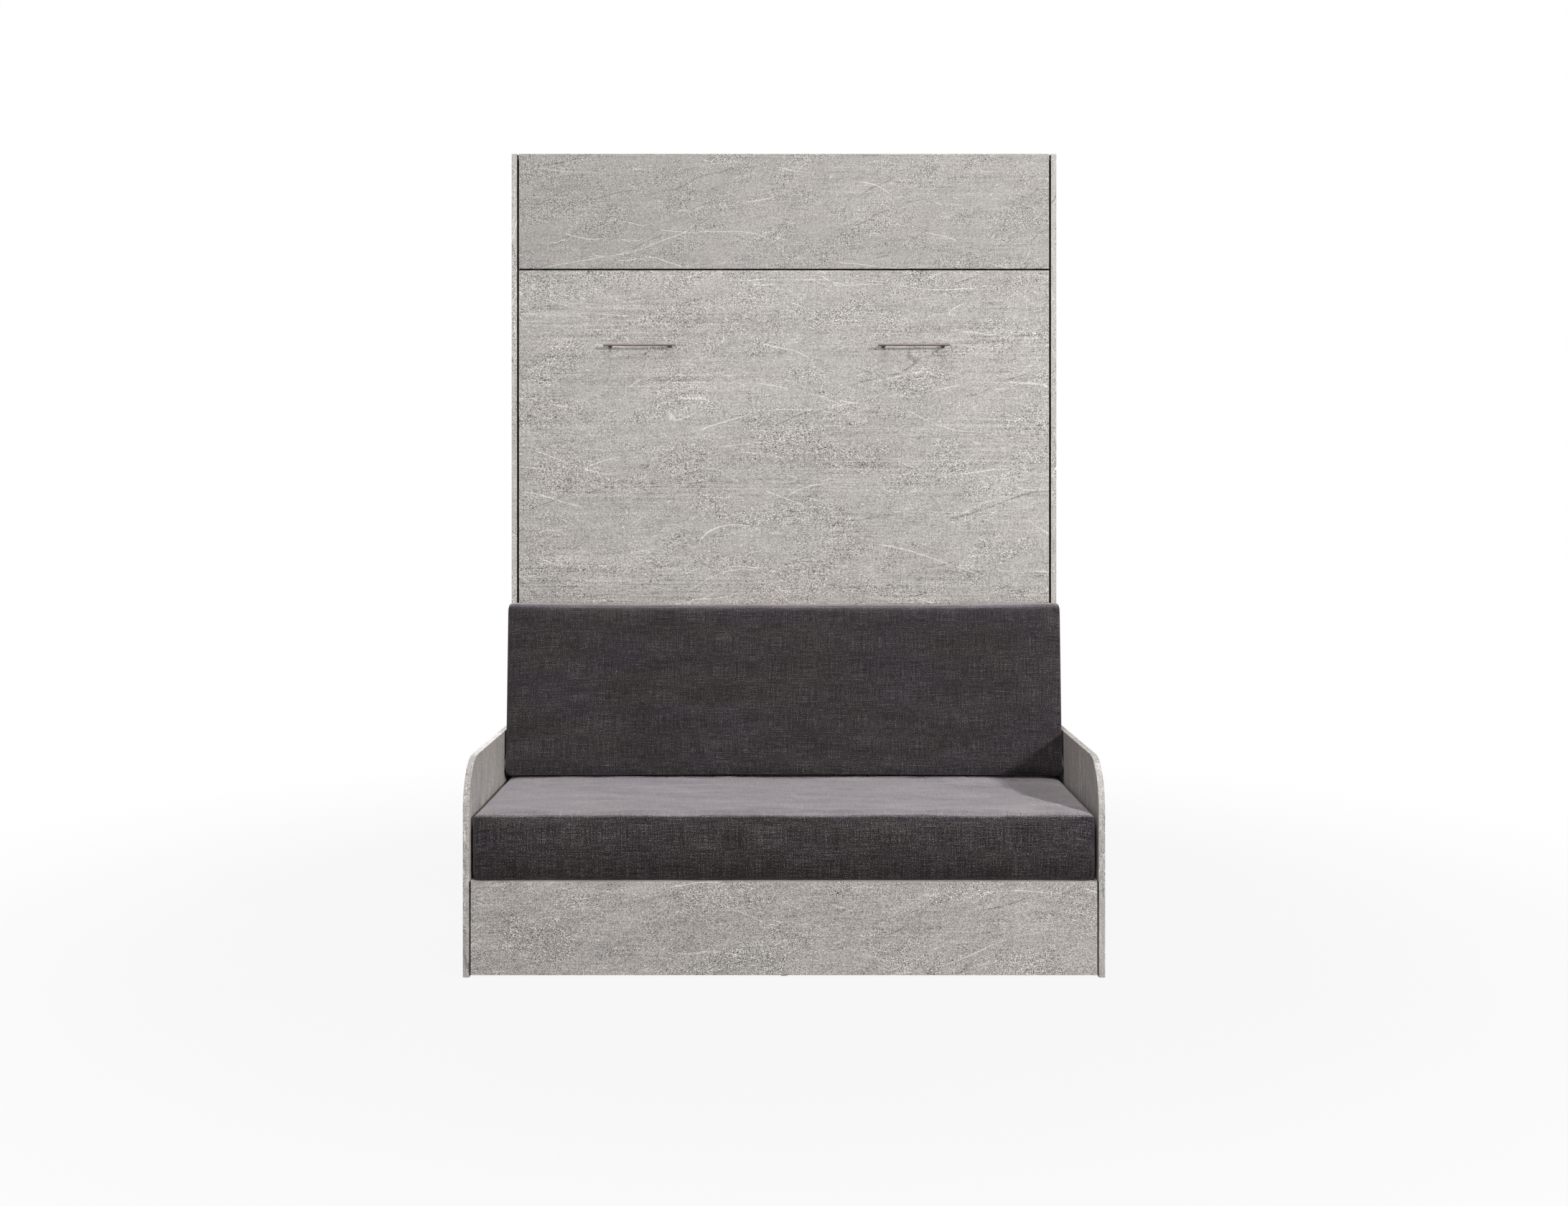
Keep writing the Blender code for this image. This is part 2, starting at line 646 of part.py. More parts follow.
def seat():
    """The seat cushion, which reaches back under the backrest."""
    half = ARM_INNER - SEAT_SIDE_GAP
    low = (-half, SOFA_FRONT + SEAT_FRONT_SETBACK, PLATFORM_HEIGHT + FIT)
    high = (half, FRONT - SEAT_REAR_SETBACK, SEAT_TOP)
    bm = padding(low, high, (24, 12, 6), SEAT_EDGE, SEAT_CROWN, SEAT_DRAW_IN, 2, 1)
    piece("seat_cushion", bm, CHARCOAL_CLOTH, smooth=True)


def backrest():
    """Cushion, board and hinge plates, built upright and then leaned back on their axis."""
    bottom = BACKREST_Z - BACKREST_EDGE
    top = bottom + BACKREST_HEIGHT
    front = BACKREST_Y - BACKREST_EDGE
    rear = BACKREST_Y + BACKREST_REAR
    board_front = rear - BACKREST_BOARD
    low = (-BACKREST_HALF, front, bottom)
    high = (BACKREST_HALF, board_front - FIT, top)
    bm = padding(low, high, (24, 6, 12), BACKREST_EDGE, BACKREST_CROWN, BACKREST_DRAW_IN, 1, -1)
    piece("backrest_cushion", bm, CHARCOAL_CLOTH, backrest_axis, smooth=True)
    board_low = bottom + BACKREST_BOARD_MARGIN
    board_high = top - BACKREST_BOARD_MARGIN
    low = (-BACKREST_HALF, board_front, board_low)
    block("backrest_board", low, (BACKREST_HALF, rear, board_high), BIRCH, backrest_axis)
    for name, sign in (("left", -1), ("right", 1)):
        inner = sign * (BACKREST_HALF + FIT)
        outer = sign * HINGE_PLATE_OUTER
        plate_top = BACKREST_Z + HINGE_PLATE_HEIGHT
        outline = arc((BACKREST_Y, BACKREST_Z), LUG_RADIUS, 135, 315, CORNER_STEPS)
        outline += [(rear, board_low), (rear, plate_top), (board_front, plate_top)]
        bm = bmesh.new()
        add_prism(bm, outline, inner, outer)
        plate = piece(f"backrest_hinge_{name}", bm, GREY_PAINT, backrest_axis)
        bm = bmesh.new()
        tip = sign * (ARM_OUTER - BUSH_BLIND_WALL - OVERRUN)
        add_rod(bm, (0, BACKREST_Y, BACKREST_Z), "X", PIN_RADIUS, (inner + outer) / 2, tip)
        tool = piece(f"backrest_pin_tool_{name}", bm, GREY_PAINT, backrest_axis)
        modified(plate, "UNION", tool)
    backrest_axis.rotation_euler.x = -BACKREST_LEAN


def backrest_bush(name, sign):
    """The bush in an arm that carries the backrest's pin."""
    flange = sign * (ARM_INNER - FIT - BUSH_FLANGE)
    depth = BUSH_FLANGE + BOARD - BUSH_BLIND_WALL - FIT
    bm = bmesh.new()
    add_bush(bm, sign, flange, BACKREST_Y, BACKREST_Z, depth)
    piece(f"backrest_bush_{name}", bm, GREY_PLASTIC, smooth=True)


# Bed

def bed_panels():
    """The two face panels that close the cabinet."""
    low = (-PANEL_HALF, FRONT, PANEL_LOW)
    high = (PANEL_HALF, FRONT + BOARD, PANEL_HIGH)
    block("front_panel_main", low, high, CONCRETE_BOARD, bed_axis, edge=EDGE_ROUND)
    low = (-PANEL_HALF, FRONT, CABINET_HEIGHT - HEADER_HEIGHT)
    high = (PANEL_HALF, FRONT + BOARD, CABINET_HEIGHT)
    block("front_panel_header", low, high, CONCRETE_BOARD, bed_axis, edge=EDGE_ROUND)


def bed_frame():
    """Steel rails with a ledge for the slats, end bars and the beam down the middle."""
    ledge_low = RAIL_LOW + BAR_HEIGHT + FIT
    ledge_high = RAIL_HIGH - BAR_HEIGHT - FIT
    ledge_rear = SLAT_FRONT - FIT
    for name, sign in (("left", -1), ("right", 1)):
        x = sorted((sign * RAIL_INNER, sign * RAIL_OUTER))
        bm = bmesh.new()
        add_tube(bm, (x[0], FRAME_FRONT, RAIL_LOW), (x[1], RAIL_REAR, RAIL_HIGH), RAIL_WALL, "Z")
        rail = piece(f"bed_rail_{name}", bm, GREY_PAINT, bed_axis)
        x = sorted((sign * (RAIL_INNER - LEDGE_WIDTH), sign * (RAIL_INNER + RAIL_WALL / 2)))
        low = (x[0], ledge_rear - LEDGE_THICKNESS, ledge_low)
        ledge = block(f"ledge_tool_{name}", low, (x[1], ledge_rear, ledge_high), GREY_PAINT, bed_axis)
        modified(rail, "UNION", ledge)
    between = RAIL_INNER - FIT
    for name, low in (("head", RAIL_LOW), ("foot", RAIL_HIGH - BAR_HEIGHT)):
        bm = bmesh.new()
        high_corner = (between, FRAME_FRONT + BAR_DEPTH, low + BAR_HEIGHT)
        add_tube(bm, (-between, FRAME_FRONT, low), high_corner, RAIL_WALL, "X")
        piece(f"bed_{name}_bar", bm, GREY_PAINT, bed_axis)
    bm = bmesh.new()
    low = (-BEAM_WIDTH / 2, FRAME_FRONT, ledge_low)
    high = (BEAM_WIDTH / 2, FRAME_FRONT + BEAM_DEPTH, ledge_high)
    add_tube(bm, low, high, RAIL_WALL, "Z")
    piece("bed_centre_beam", bm, GREY_PAINT, bed_axis)


def slatted_base():
    """Birch slats stapled to two ribbons, so that they lie on the ledges as one piece."""
    first = RAIL_LOW + BAR_HEIGHT + SLAT_WIDTH
    last = RAIL_HIGH - BAR_HEIGHT - SLAT_WIDTH
    bm = bmesh.new()
    half = RAIL_INNER - SLAT_END_GAP
    for step in range(SLAT_COUNT):
        z = first + (last - first) * step / (SLAT_COUNT - 1)
        low = (-half, SLAT_FRONT, z - SLAT_WIDTH / 2)
        add_box(bm, low, (half, SLAT_FRONT + SLAT_THICKNESS - FIT, z + SLAT_WIDTH / 2))
    slats = piece("slatted_base", bm, BIRCH, bed_axis)
    bm = bmesh.new()
    front = SLAT_FRONT - SLAT_RIBBON_THICKNESS / 2
    for sign in (-1, 1):
        x = sign * SLAT_RIBBON_X
        low = (x - SLAT_RIBBON_WIDTH / 2, front, first - SLAT_RIBBON_WIDTH / 2)
        high = (x + SLAT_RIBBON_WIDTH / 2, front + SLAT_RIBBON_THICKNESS, last + SLAT_RIBBON_WIDTH / 2)
        add_box(bm, low, high)
    modified(slats, "UNION", piece("ribbon_tool", bm, BIRCH, bed_axis))


def mattress():
    """The mattress, its two straps and the plate that keeps it on the frame at the foot."""
    low = (-MATTRESS_HALF, MATTRESS_FRONT, MATTRESS_LOW)
    rear = MATTRESS_FRONT + MATTRESS_THICKNESS
    bm = padding(low, (MATTRESS_HALF, rear, MATTRESS_HIGH), (10, 6, 12), MATTRESS_EDGE, 0, 0, 1, 1)
    piece("mattress", bm, MATTRESS_CLOTH, bed_axis, smooth=True)
    hidden = MATTRESS_HALF + FIT
    outer = hidden + STRAP_THICKNESS
    deep = RAIL_REAR - STRAP_WIDTH / 2
    top = rear + FIT
    over = top + STRAP_THICKNESS
    outline = [(-outer, deep), (-hidden, deep), (-hidden, top), (hidden, top), (hidden, deep), (outer, deep)]
    outline += [(outer, over), (-outer, over)]
    for name, z in (("head", MATTRESS_LOW + STRAP_INSET), ("foot", MATTRESS_HIGH - STRAP_INSET)):
        bm = bmesh.new()
        add_prism(bm, outline, z - STRAP_WIDTH / 2, z + STRAP_WIDTH / 2, "Z")
        piece(f"mattress_strap_{name}", bm, STRAP_CLOTH, bed_axis)
    half = MATTRESS_STOP_WIDTH / 2
    near = FRAME_FRONT + OVERRUN
    low = (-half, near, RAIL_HIGH + FIT)
    high = (half, near + MATTRESS_STOP_DEPTH, RAIL_HIGH + FIT + MATTRESS_STOP_PLATE)
    block("mattress_stop", low, high, GREY_PAINT, bed_axis, edge=EDGE_ROUND)


def bed_bracket(name, sign):
    """The plate on a rail with the lug at the pivot and the lever that the strut pushes."""
    pivot = Vector((PIVOT_Y, PIVOT_Z))
    foot = pivot + STRUT_FOOT
    slope = math.degrees(math.atan2(STRUT_FOOT.y, STRUT_FOOT.x))
    front = FRAME_FRONT + FIT
    lug_start = math.degrees(math.acos((front - PIVOT_Y) / LUG_RADIUS))
    outline = [(front, PIVOT_Z + BRACKET_HEIGHT)]
    outline += arc(pivot, LUG_RADIUS, lug_start, slope + 270, CORNER_STEPS)
    outline += arc(foot, LUG_RADIUS, slope + 270, slope + 450, CORNER_STEPS)
    outline += [(RAIL_REAR, PIVOT_Z - BRACKET_HEEL), (RAIL_REAR, PIVOT_Z + BRACKET_HEIGHT)]
    bm = bmesh.new()
    inner = sign * (RAIL_OUTER + FIT)
    add_prism(bm, outline, inner, inner + sign * BRACKET_PLATE, "X", [circle(pivot, BUSH_HOLE)])
    piece(f"bed_bracket_{name}", bm, GREY_PAINT, bed_axis)


def bed_bush(name, sign):
    """The bush in a lug of the bed, with its flange on the outside."""
    flange = sign * (RAIL_OUTER + 2 * FIT + BRACKET_PLATE + BUSH_FLANGE)
    bm = bmesh.new()
    add_bush(bm, -sign, flange, PIVOT_Y, PIVOT_Z, BUSH_FLANGE + BRACKET_PLATE)
    piece(f"bed_bush_{name}", bm, GREY_PLASTIC, bed_axis, smooth=True)


def handle(name, x):
    """A thin bar with two posts."""
    y = FRONT - HANDLE_PROJECTION
    z = PANEL_HIGH - HANDLE_DROP
    half = HANDLE_LENGTH / 2
    bm = bmesh.new()
    add_rod(bm, (x, y, z), "X", HANDLE_RADIUS, -half, half)
    bar = piece(f"handle_{name}", bm, BRUSHED_STEEL, bed_axis, smooth=True)
    bm = bmesh.new()
    for sign in (-1, 1):
        spot = (x + sign * HANDLE_POST_SPACING / 2, y, z)
        add_rod(bm, spot, "Y", HANDLE_POST_RADIUS, 0, HANDLE_PROJECTION - FIT, SMALL_ROUND_STEPS)
    modified(bar, "UNION", piece(f"handle_post_tool_{name}", bm, BRUSHED_STEEL, bed_axis, smooth=True))


# Legs

def leg_pivot(name, sign):
    """A spacer on a rail, with a riveted stud for the leg."""
    profile = [
        (0, sign * (RAIL_OUTER + FIT)),
        (LEG_SPACER_RADIUS, sign * (RAIL_OUTER + FIT)),
        (LEG_SPACER_RADIUS, sign * (LEG_INNER - FIT)),
        (PIN_RADIUS, sign * (LEG_INNER - FIT)),
        (PIN_RADIUS, sign * LEG_OUTER),
        (0, sign * LEG_OUTER),
    ]
    bm = bmesh.new()
    add_turned(bm, profile, (0, LEG_PIVOT_Y, LEG_PIVOT_Z), "X")
    piece(f"leg_pivot_{name}", bm, ZINC, bed_axis, smooth=True)


def leg(name, sign):
    """A flat steel leg with a rubber foot, which hangs in the gap beside the bed."""
    axis = axis_empty(f"leg_axis_{name}", LEG_PIVOT_Y, LEG_PIVOT_Z, sign * LEG_INNER)
    axis.parent = bed_axis
    axis.matrix_parent_inverse = Matrix.Translation(-bed_axis.location)
    bottom = LEG_PIVOT_Z - LEG_LENGTH + FOOT_HEIGHT + FIT
    outline = arc((LEG_PIVOT_Y, LEG_PIVOT_Z), LEG_WIDTH / 2, 0, 180, CORNER_STEPS)
    outline += [(LEG_PIVOT_Y - LEG_WIDTH / 2, bottom), (LEG_PIVOT_Y + LEG_WIDTH / 2, bottom)]
    bm = bmesh.new()
    hole = circle((LEG_PIVOT_Y, LEG_PIVOT_Z), BUSH_INNER)
    add_prism(bm, outline, sign * LEG_INNER, sign * LEG_OUTER, "X", [hole])
    piece(f"leg_{name}", bm, GREY_PAINT, axis)
    x = sorted((sign * LEG_INNER, sign * LEG_OUTER))
    low = (x[0], LEG_PIVOT_Y - FOOT_WIDTH / 2, bottom - FIT - FOOT_HEIGHT)
    block(f"leg_foot_{name}", low, (x[1], LEG_PIVOT_Y + FOOT_WIDTH / 2, bottom - FIT), RUBBER, axis)


# Gas struts

def strut(name, sign):
    """A gas strut, built hanging plumb from its top eye and then tilted on its axis."""
    y = PIVOT_Y + STRUT_TOP.x
    z = PIVOT_Z + STRUT_TOP.y
    axis = axis_empty(f"strut_axis_{name}", y, z, sign * STRUT_X)
    top = (sign * STRUT_X, y, z)
    half_eye = EYE_WIDTH / 2
    mouth = -CYLINDER_LENGTH
    shoulder = -EYE_RADIUS - CYLINDER_RADIUS
    neck = -(EYE_HOLE + EYE_RADIUS) / 2
    bore_end = shoulder - CYLINDER_END_WALL
    bm = bmesh.new()
    profile = [
        (0, neck),
        (CYLINDER_NECK_RADIUS, neck),
        (CYLINDER_NECK_RADIUS, shoulder + CYLINDER_RADIUS / 2),
        (CYLINDER_RADIUS, shoulder),
        (CYLINDER_RADIUS, mouth),
        (EYE_HOLE, mouth),
        (EYE_HOLE, bore_end),
        (0, bore_end),
    ]
    add_turned(bm, profile, top, "Z")
    cylinder = piece(f"strut_cylinder_{name}", bm, BLACK_PAINT, axis, smooth=True)
    bm = bmesh.new()
    eye = [(EYE_HOLE, -half_eye), (EYE_RADIUS, -half_eye), (EYE_RADIUS, half_eye), (EYE_HOLE, half_eye)]
    add_turned(bm, eye, top, "X", ring=True)
    modified(cylinder, "UNION", piece(f"cylinder_eye_tool_{name}", bm, BLACK_PAINT, axis))
    bm = bmesh.new()
    add_rod(bm, top, "Z", ROD_RADIUS, -STRUT_CLOSED, mouth + ROD_INSERTION)
    rod = piece(f"strut_rod_{name}", bm, BRUSHED_STEEL, axis, smooth=True)
    bm = bmesh.new()
    stud_tip = -sign * (STRUT_X - RAIL_OUTER - 2 * FIT - BRACKET_PLATE)
    foot = (sign * STRUT_X, y, z - STRUT_CLOSED)
    profile = [
        (0, sign * half_eye),
        (EYE_RADIUS, sign * half_eye),
        (EYE_RADIUS, -sign * half_eye),
        (ROD_RADIUS, -sign * half_eye),
        (ROD_RADIUS, stud_tip),
        (0, stud_tip),
    ]
    add_turned(bm, profile, foot, "X")
    modified(rod, "UNION", piece(f"rod_eye_tool_{name}", bm, BRUSHED_STEEL, axis))
    lean = STRUT_TOP - STRUT_FOOT
    axis.rotation_euler.x = -math.atan2(lean.x, lean.y)


def turned_by(vector, angle):
    """A (Y, Z) vector turned about X."""
    c = math.cos(angle)
    s = math.sin(angle)
    return Vector((vector.x * c - vector.y * s, vector.x * s + vector.y * c))


def print_motion():
    """Print the hinge places and the ratios that tie the moving pieces to the bed."""
    quarter = math.pi / 2
    closed = STRUT_TOP - STRUT_FOOT
    opened = STRUT_TOP - turned_by(STRUT_FOOT, quarter)
    tilt = math.atan2(closed.x, closed.y) - math.atan2(opened.x, opened.y)
    stroke = closed.length - opened.length
    direction = -closed.normalized()
    print(f"bed pivot {PIVOT_Y:.6f} {PIVOT_Z:.6f}")
    print(f"backrest pivot {BACKREST_Y:.6f} {BACKREST_Z:.6f} ratio {(quarter + BACKREST_LEAN) / quarter:.6f}")
    print(f"leg pivot {LEG_PIVOT_Y:.6f} {LEG_PIVOT_Z:.6f}")
    print(f"strut pivot {PIVOT_Y + STRUT_TOP.x:.6f} {PIVOT_Z + STRUT_TOP.y:.6f} at x {STRUT_X:.4f}")
    print(f"strut tilt {math.degrees(tilt):.5f} degrees, ratio {tilt / quarter:.6f}")
    print(f"strut stroke {stroke:.6f}, ratio {stroke / quarter:.6f}")
    print(f"strut direction {direction.x:.6f} {direction.y:.6f}")


cabinet_boards()
cabinet_back()
sofa_base()
seat()
backrest()
bed_panels()
bed_frame()
slatted_base()
mattress()
handle("left", HANDLE_LEFT_X)
handle("right", HANDLE_RIGHT_X)
for side, direction_sign in (("left", -1), ("right", 1)):
    wall_screw(side, direction_sign)
    bed_stop(side, direction_sign)
    pivot_plate(side, direction_sign)
    strut_plate(side, direction_sign)
    sofa_arm(side, direction_sign)
    backrest_bush(side, direction_sign)
    bed_bracket(side, direction_sign)
    bed_bush(side, direction_sign)
    leg_pivot(side, direction_sign)
    leg(side, direction_sign)
    strut(side, direction_sign)
print_motion()
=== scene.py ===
# %% [markdown]
# # A wall bed with a sofa, dressed for its photograph
#
# The part is a bed that stands upright in a cabinet of grey boards, with a sofa in front of
# it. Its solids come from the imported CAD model, and they are already in the right places. So
# this lesson makes no boards and no steel. It gives each board, tube and rod the finish of the
# real one, and it makes the soft pieces that a plain solid can't stand for: two cushions and a
# mattress.
#
# Everything is in metres, in the frame of the CAD model: X to the right, Y from the sofa
# towards the wall, Z up. The sofa looks towards the camera, along minus Y.

import json
import math

import bmesh
import bpy
import numpy as np
from mathutils import Euler, Matrix, Vector, noise


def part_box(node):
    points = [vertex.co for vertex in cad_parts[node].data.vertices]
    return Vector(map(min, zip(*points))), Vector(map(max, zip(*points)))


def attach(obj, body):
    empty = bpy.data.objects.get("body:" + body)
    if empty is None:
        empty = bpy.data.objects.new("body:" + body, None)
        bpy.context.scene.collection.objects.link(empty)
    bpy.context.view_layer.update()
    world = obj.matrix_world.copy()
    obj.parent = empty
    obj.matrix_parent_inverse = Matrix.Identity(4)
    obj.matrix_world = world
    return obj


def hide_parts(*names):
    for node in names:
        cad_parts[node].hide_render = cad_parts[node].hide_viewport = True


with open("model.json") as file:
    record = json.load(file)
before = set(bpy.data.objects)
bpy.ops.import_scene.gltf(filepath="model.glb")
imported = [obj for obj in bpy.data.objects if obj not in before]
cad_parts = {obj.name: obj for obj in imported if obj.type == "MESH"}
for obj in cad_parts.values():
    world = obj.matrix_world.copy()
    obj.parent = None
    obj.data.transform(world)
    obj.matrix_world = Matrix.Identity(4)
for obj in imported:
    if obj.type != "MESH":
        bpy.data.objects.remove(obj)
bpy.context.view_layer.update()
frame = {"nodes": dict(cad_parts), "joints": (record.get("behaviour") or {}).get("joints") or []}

# %% [markdown]
# ## Camera
#
# The photograph was taken with a level camera: every upright edge is plumb in it. The eye is
# as high as the line that level edges point to, which is above the middle of the picture. A
# level camera shows such a picture when its lens is shifted, not tilted. So the camera looks
# straight along Y, and a small negative shift moves the object down in the picture.

# %% Set up the camera
scene = bpy.context.scene
scene.view_settings.view_transform = "Standard"

EYE = (0.0, -4.79, 1.22)
LENS_MM = 38.7
LENS_SHIFT = -0.071

camera = bpy.data.objects.new("camera", bpy.data.cameras.new("camera"))
scene.collection.objects.link(camera)
camera.location = EYE
camera.rotation_euler = (math.radians(90), 0, 0)
camera.data.sensor_fit = "HORIZONTAL"
camera.data.lens = LENS_MM
camera.data.shift_y = LENS_SHIFT
scene.camera = camera
print(f"Camera {abs(EYE[1]):.2f} m in front of the middle, {EYE[2]:.2f} m high, lens {LENS_MM} mm")

# %% [markdown]
# ## Writing finishes as nodes
#
# A finish in Blender is a tree of nodes. Placing nodes one by one takes many lines, so a few
# small helpers do it here. `add` makes one node, sets or links its inputs and hands back one
# output, which the next node can take. `spots` makes noise whose blobs have a size in metres
# along X, Y and Z, because a long blob along one axis is what makes grain, brushing or a
# trowel mark. `ripple` makes the even waves of a weave.

# %% Helpers for nodes

def set_inputs(tree, node, inputs):
    """Link or set the inputs of a node."""
    for key, value in inputs.items():
        if isinstance(value, bpy.types.NodeSocket):
            tree.links.new(value, node.inputs[key])
        else:
            node.inputs[key].default_value = value


def add(tree, kind, inputs=None, output=0, **settings):
    """Make one node, set or link its inputs, and return one of its outputs."""
    node = tree.nodes.new("ShaderNode" + kind)
    for name, value in settings.items():
        setattr(node, name, value)
    set_inputs(tree, node, inputs or {})
    return node.outputs[output]


def calc(tree, operation, *values, clamp=False):
    """One step of arithmetic."""
    return add(tree, "Math", dict(enumerate(values)), operation=operation, use_clamp=clamp)


def spots(tree, place, size, detail=2.0, roughness=0.5):
    """Noise from 0 to 1, with blobs of the given size in metres along each axis."""
    scale = tuple(1 / length for length in size)
    spread = add(tree, "VectorMath", {0: place, 1: scale}, operation="MULTIPLY")
    return add(tree, "TexNoise", {"Vector": spread, "Scale": 1.0, "Detail": detail, "Roughness": roughness})


def ripple(tree, value, pitch):
    """A wave from -1 to 1 that repeats once in each pitch of a value."""
    return calc(tree, "SINE", calc(tree, "MULTIPLY", value, 2 * math.pi / pitch))


def stretch(tree, value, low, high, to_low=0.0, to_high=1.0):
    """Spread the part of a value between two limits over a new range, with soft ends."""
    inputs = {"Value": value, "From Min": low, "From Max": high, "To Min": to_low, "To Max": to_high}
    return add(tree, "MapRange", inputs, interpolation_type="SMOOTHSTEP")


def blend_colours(tree, share, first, second, how="MIX"):
    """Mix two colours by a share."""
    inputs = {0: share, 6: first, 7: second}
    return add(tree, "Mix", inputs, output=2, data_type="RGBA", blend_type=how)


def relief(tree, height, depth):
    """A bump of the given depth in metres."""
    return add(tree, "Bump", {"Height": height, "Distance": depth, "Strength": 1.0})


print("Helpers for values are ready")

# %% Helpers for places and materials

def new_finish(name):
    """A fresh material, its tree and its shader."""
    material = bpy.data.materials.new(name)
    material.use_nodes = True
    return material, material.node_tree, material.node_tree.nodes["Principled BSDF"]


def moved(tree, place, offset):
    """A place moved by an offset."""
    return add(tree, "VectorMath", {0: place, 1: offset}, operation="ADD")


def object_place(tree, offset=(0, 0, 0)):
    """Where a point of the piece is, in metres, moved by an offset so that pieces differ."""
    return moved(tree, add(tree, "TexCoord", output="Object"), offset)


def axes_of(tree, place):
    """The X, Y and Z of a place, as three outputs."""
    apart = tree.nodes.new("ShaderNodeSeparateXYZ")
    tree.links.new(place, apart.inputs[0])
    return apart.outputs


def finish(material, *names):
    """Give CAD pieces a finish."""
    for name in names:
        for entry in frame["nodes"][name].material_slots:
            entry.link = "OBJECT"
            entry.material = material


print("Helpers for materials are ready")

# %% [markdown]
# ## Concrete board
#
# The boards are chipboard with a printed paper that looks like trowelled concrete. The print
# is light warm grey. Up close it is full of small light and dark specks, some patches are rough
# and some are nearly smooth, and the trowel has left long faint streaks and a few thin
# scratches.
#
# A picture of concrete would be quick, but it would repeat and need a file. Noise at several
# sizes does it without. Every kind of mark is a noise of its own size, and it lightens or
# darkens the board by its own amount. Some kinds are weaker outside their patches, and the
# patches are slower noises.

# %% How a mark joins the print

def marks(tree, place, along, across, detail=2.0, roughness=0.6):
    """Noise with blobs of one length along the board and one width across it."""
    return spots(tree, place, (along, across, across), detail, roughness)


def turned(tree, place, degrees):
    """Places turned by an angle, for marks that lie across the board."""
    angle = math.radians(degrees)
    return add(tree, "Mapping", {"Vector": place, "Rotation": (0.0, angle, angle)})


def part(tree, value, middle, amount, share=None):
    """How much a mark lightens or darkens the board."""
    swing = calc(tree, "MULTIPLY", calc(tree, "SUBTRACT", value, middle), amount)
    return calc(tree, "MULTIPLY", swing, share) if share else swing


def at_least(tree, patch, least):
    """A share that never falls below a least value."""
    return calc(tree, "MULTIPLY_ADD", patch, 1.0 - least, least)


print("Marks can be added up")

# %% [markdown]
# The broad marks are clouds half a metre long, mottles of a hand's width, dark smears and light
# scuffs. The small ones are specks and grains of sand, bright chips, pits, and the threads of a
# cloth that was pressed into the wet face.

# %% Broad and small marks
ANOTHER_PLACE = (2.3, 1.7, 2.9)


def broad_marks(tree, place, slanted, amounts):
    """Clouds, mottles, smears and scuffs."""
    patches = amounts["Patches"]
    clouds = marks(tree, place, 0.60, 0.24, 3.0, 0.5)
    mottles = marks(tree, slanted, 0.130, 0.036, 4.0, 0.65)
    smears = stretch(tree, marks(tree, slanted, 0.150, 0.022, 3.0), 0.60, 0.76)
    scuffs = stretch(tree, marks(tree, slanted, 0.085, 0.012, 4.0, 0.65), 0.58, 0.72)
    return [
        part(tree, clouds, 0.5, 0.24, patches),
        part(tree, mottles, 0.5, 0.44, patches),
        part(tree, smears, 0.06, -0.20, patches),
        part(tree, scuffs, 0.08, 0.26, patches),
    ]


def small_marks(tree, place, slanted, amounts):
    """Specks, grains, chips and pits, strong in rough patches, and the imprint of a cloth."""
    rough = stretch(tree, marks(tree, slanted, 0.200, 0.085, 4.0, 0.65), 0.44, 0.60)
    rough = calc(tree, "MULTIPLY", at_least(tree, rough, 0.30), amounts["Specks"])
    cloth = stretch(tree, marks(tree, place, 0.220, 0.120, 3.0, 0.5), 0.40, 0.58)
    cloth = at_least(tree, cloth, 0.35)
    specks = stretch(tree, marks(tree, place, 0.0030, 0.0019, 1.0, 0.7), 0.25, 0.75, -0.7, 1.0)
    grains = marks(tree, place, 0.0018, 0.0013, 0.0)
    chips = stretch(tree, marks(tree, place, 0.0056, 0.0029, 2.0, 0.7), 0.57, 0.67)
    elsewhere = moved(tree, place, ANOTHER_PLACE)
    pits = stretch(tree, marks(tree, elsewhere, 0.0052, 0.0028, 2.0, 0.7), 0.58, 0.69)
    upright_threads = marks(tree, place, 0.0023, 0.030)
    level_threads = marks(tree, place, 0.040, 0.0023)
    return [
        part(tree, specks, 0.15, 0.85, rough),
        part(tree, grains, 0.5, 1.70, amounts["Specks"]),
        part(tree, chips, 0.16, 0.95, rough),
        part(tree, pits, 0.14, -0.55, rough),
        part(tree, upright_threads, 0.5, 0.62, cloth),
        part(tree, level_threads, 0.5, 0.68, cloth),
    ]


print("Broad and small marks are ready")

# %% [markdown]
# The trowel leaves streaks of two widths along the board, and short strokes that rise, fall or
# dent it. It doesn't run straight, so their places are bent by a slow noise first.
#
# A scratch is a thin line that starts and ends. A noise crosses any value along closed loops, so
# a line drawn there would close too. Here the noise is read twice, at a place and a little
# beside it across the board, and the scratch lies where it is above the value at the first place
# only. The scratch is then as wide as the step between the two, and it fades where a loop would
# turn back.

# %% Trowel marks and scratches
SCRATCH_WIDTH = 0.0030
SCRATCH_SOFT = 0.0006
# Degrees, length and width of the noise, the value where it is cut, and how light it is
SCRATCHES = (
    (8, 1.10, 0.17, 0.52, 0.46),
    (-9, 0.90, 0.09, 0.54, 0.46),
    (12, 0.80, 0.11, 0.46, -0.32),
)


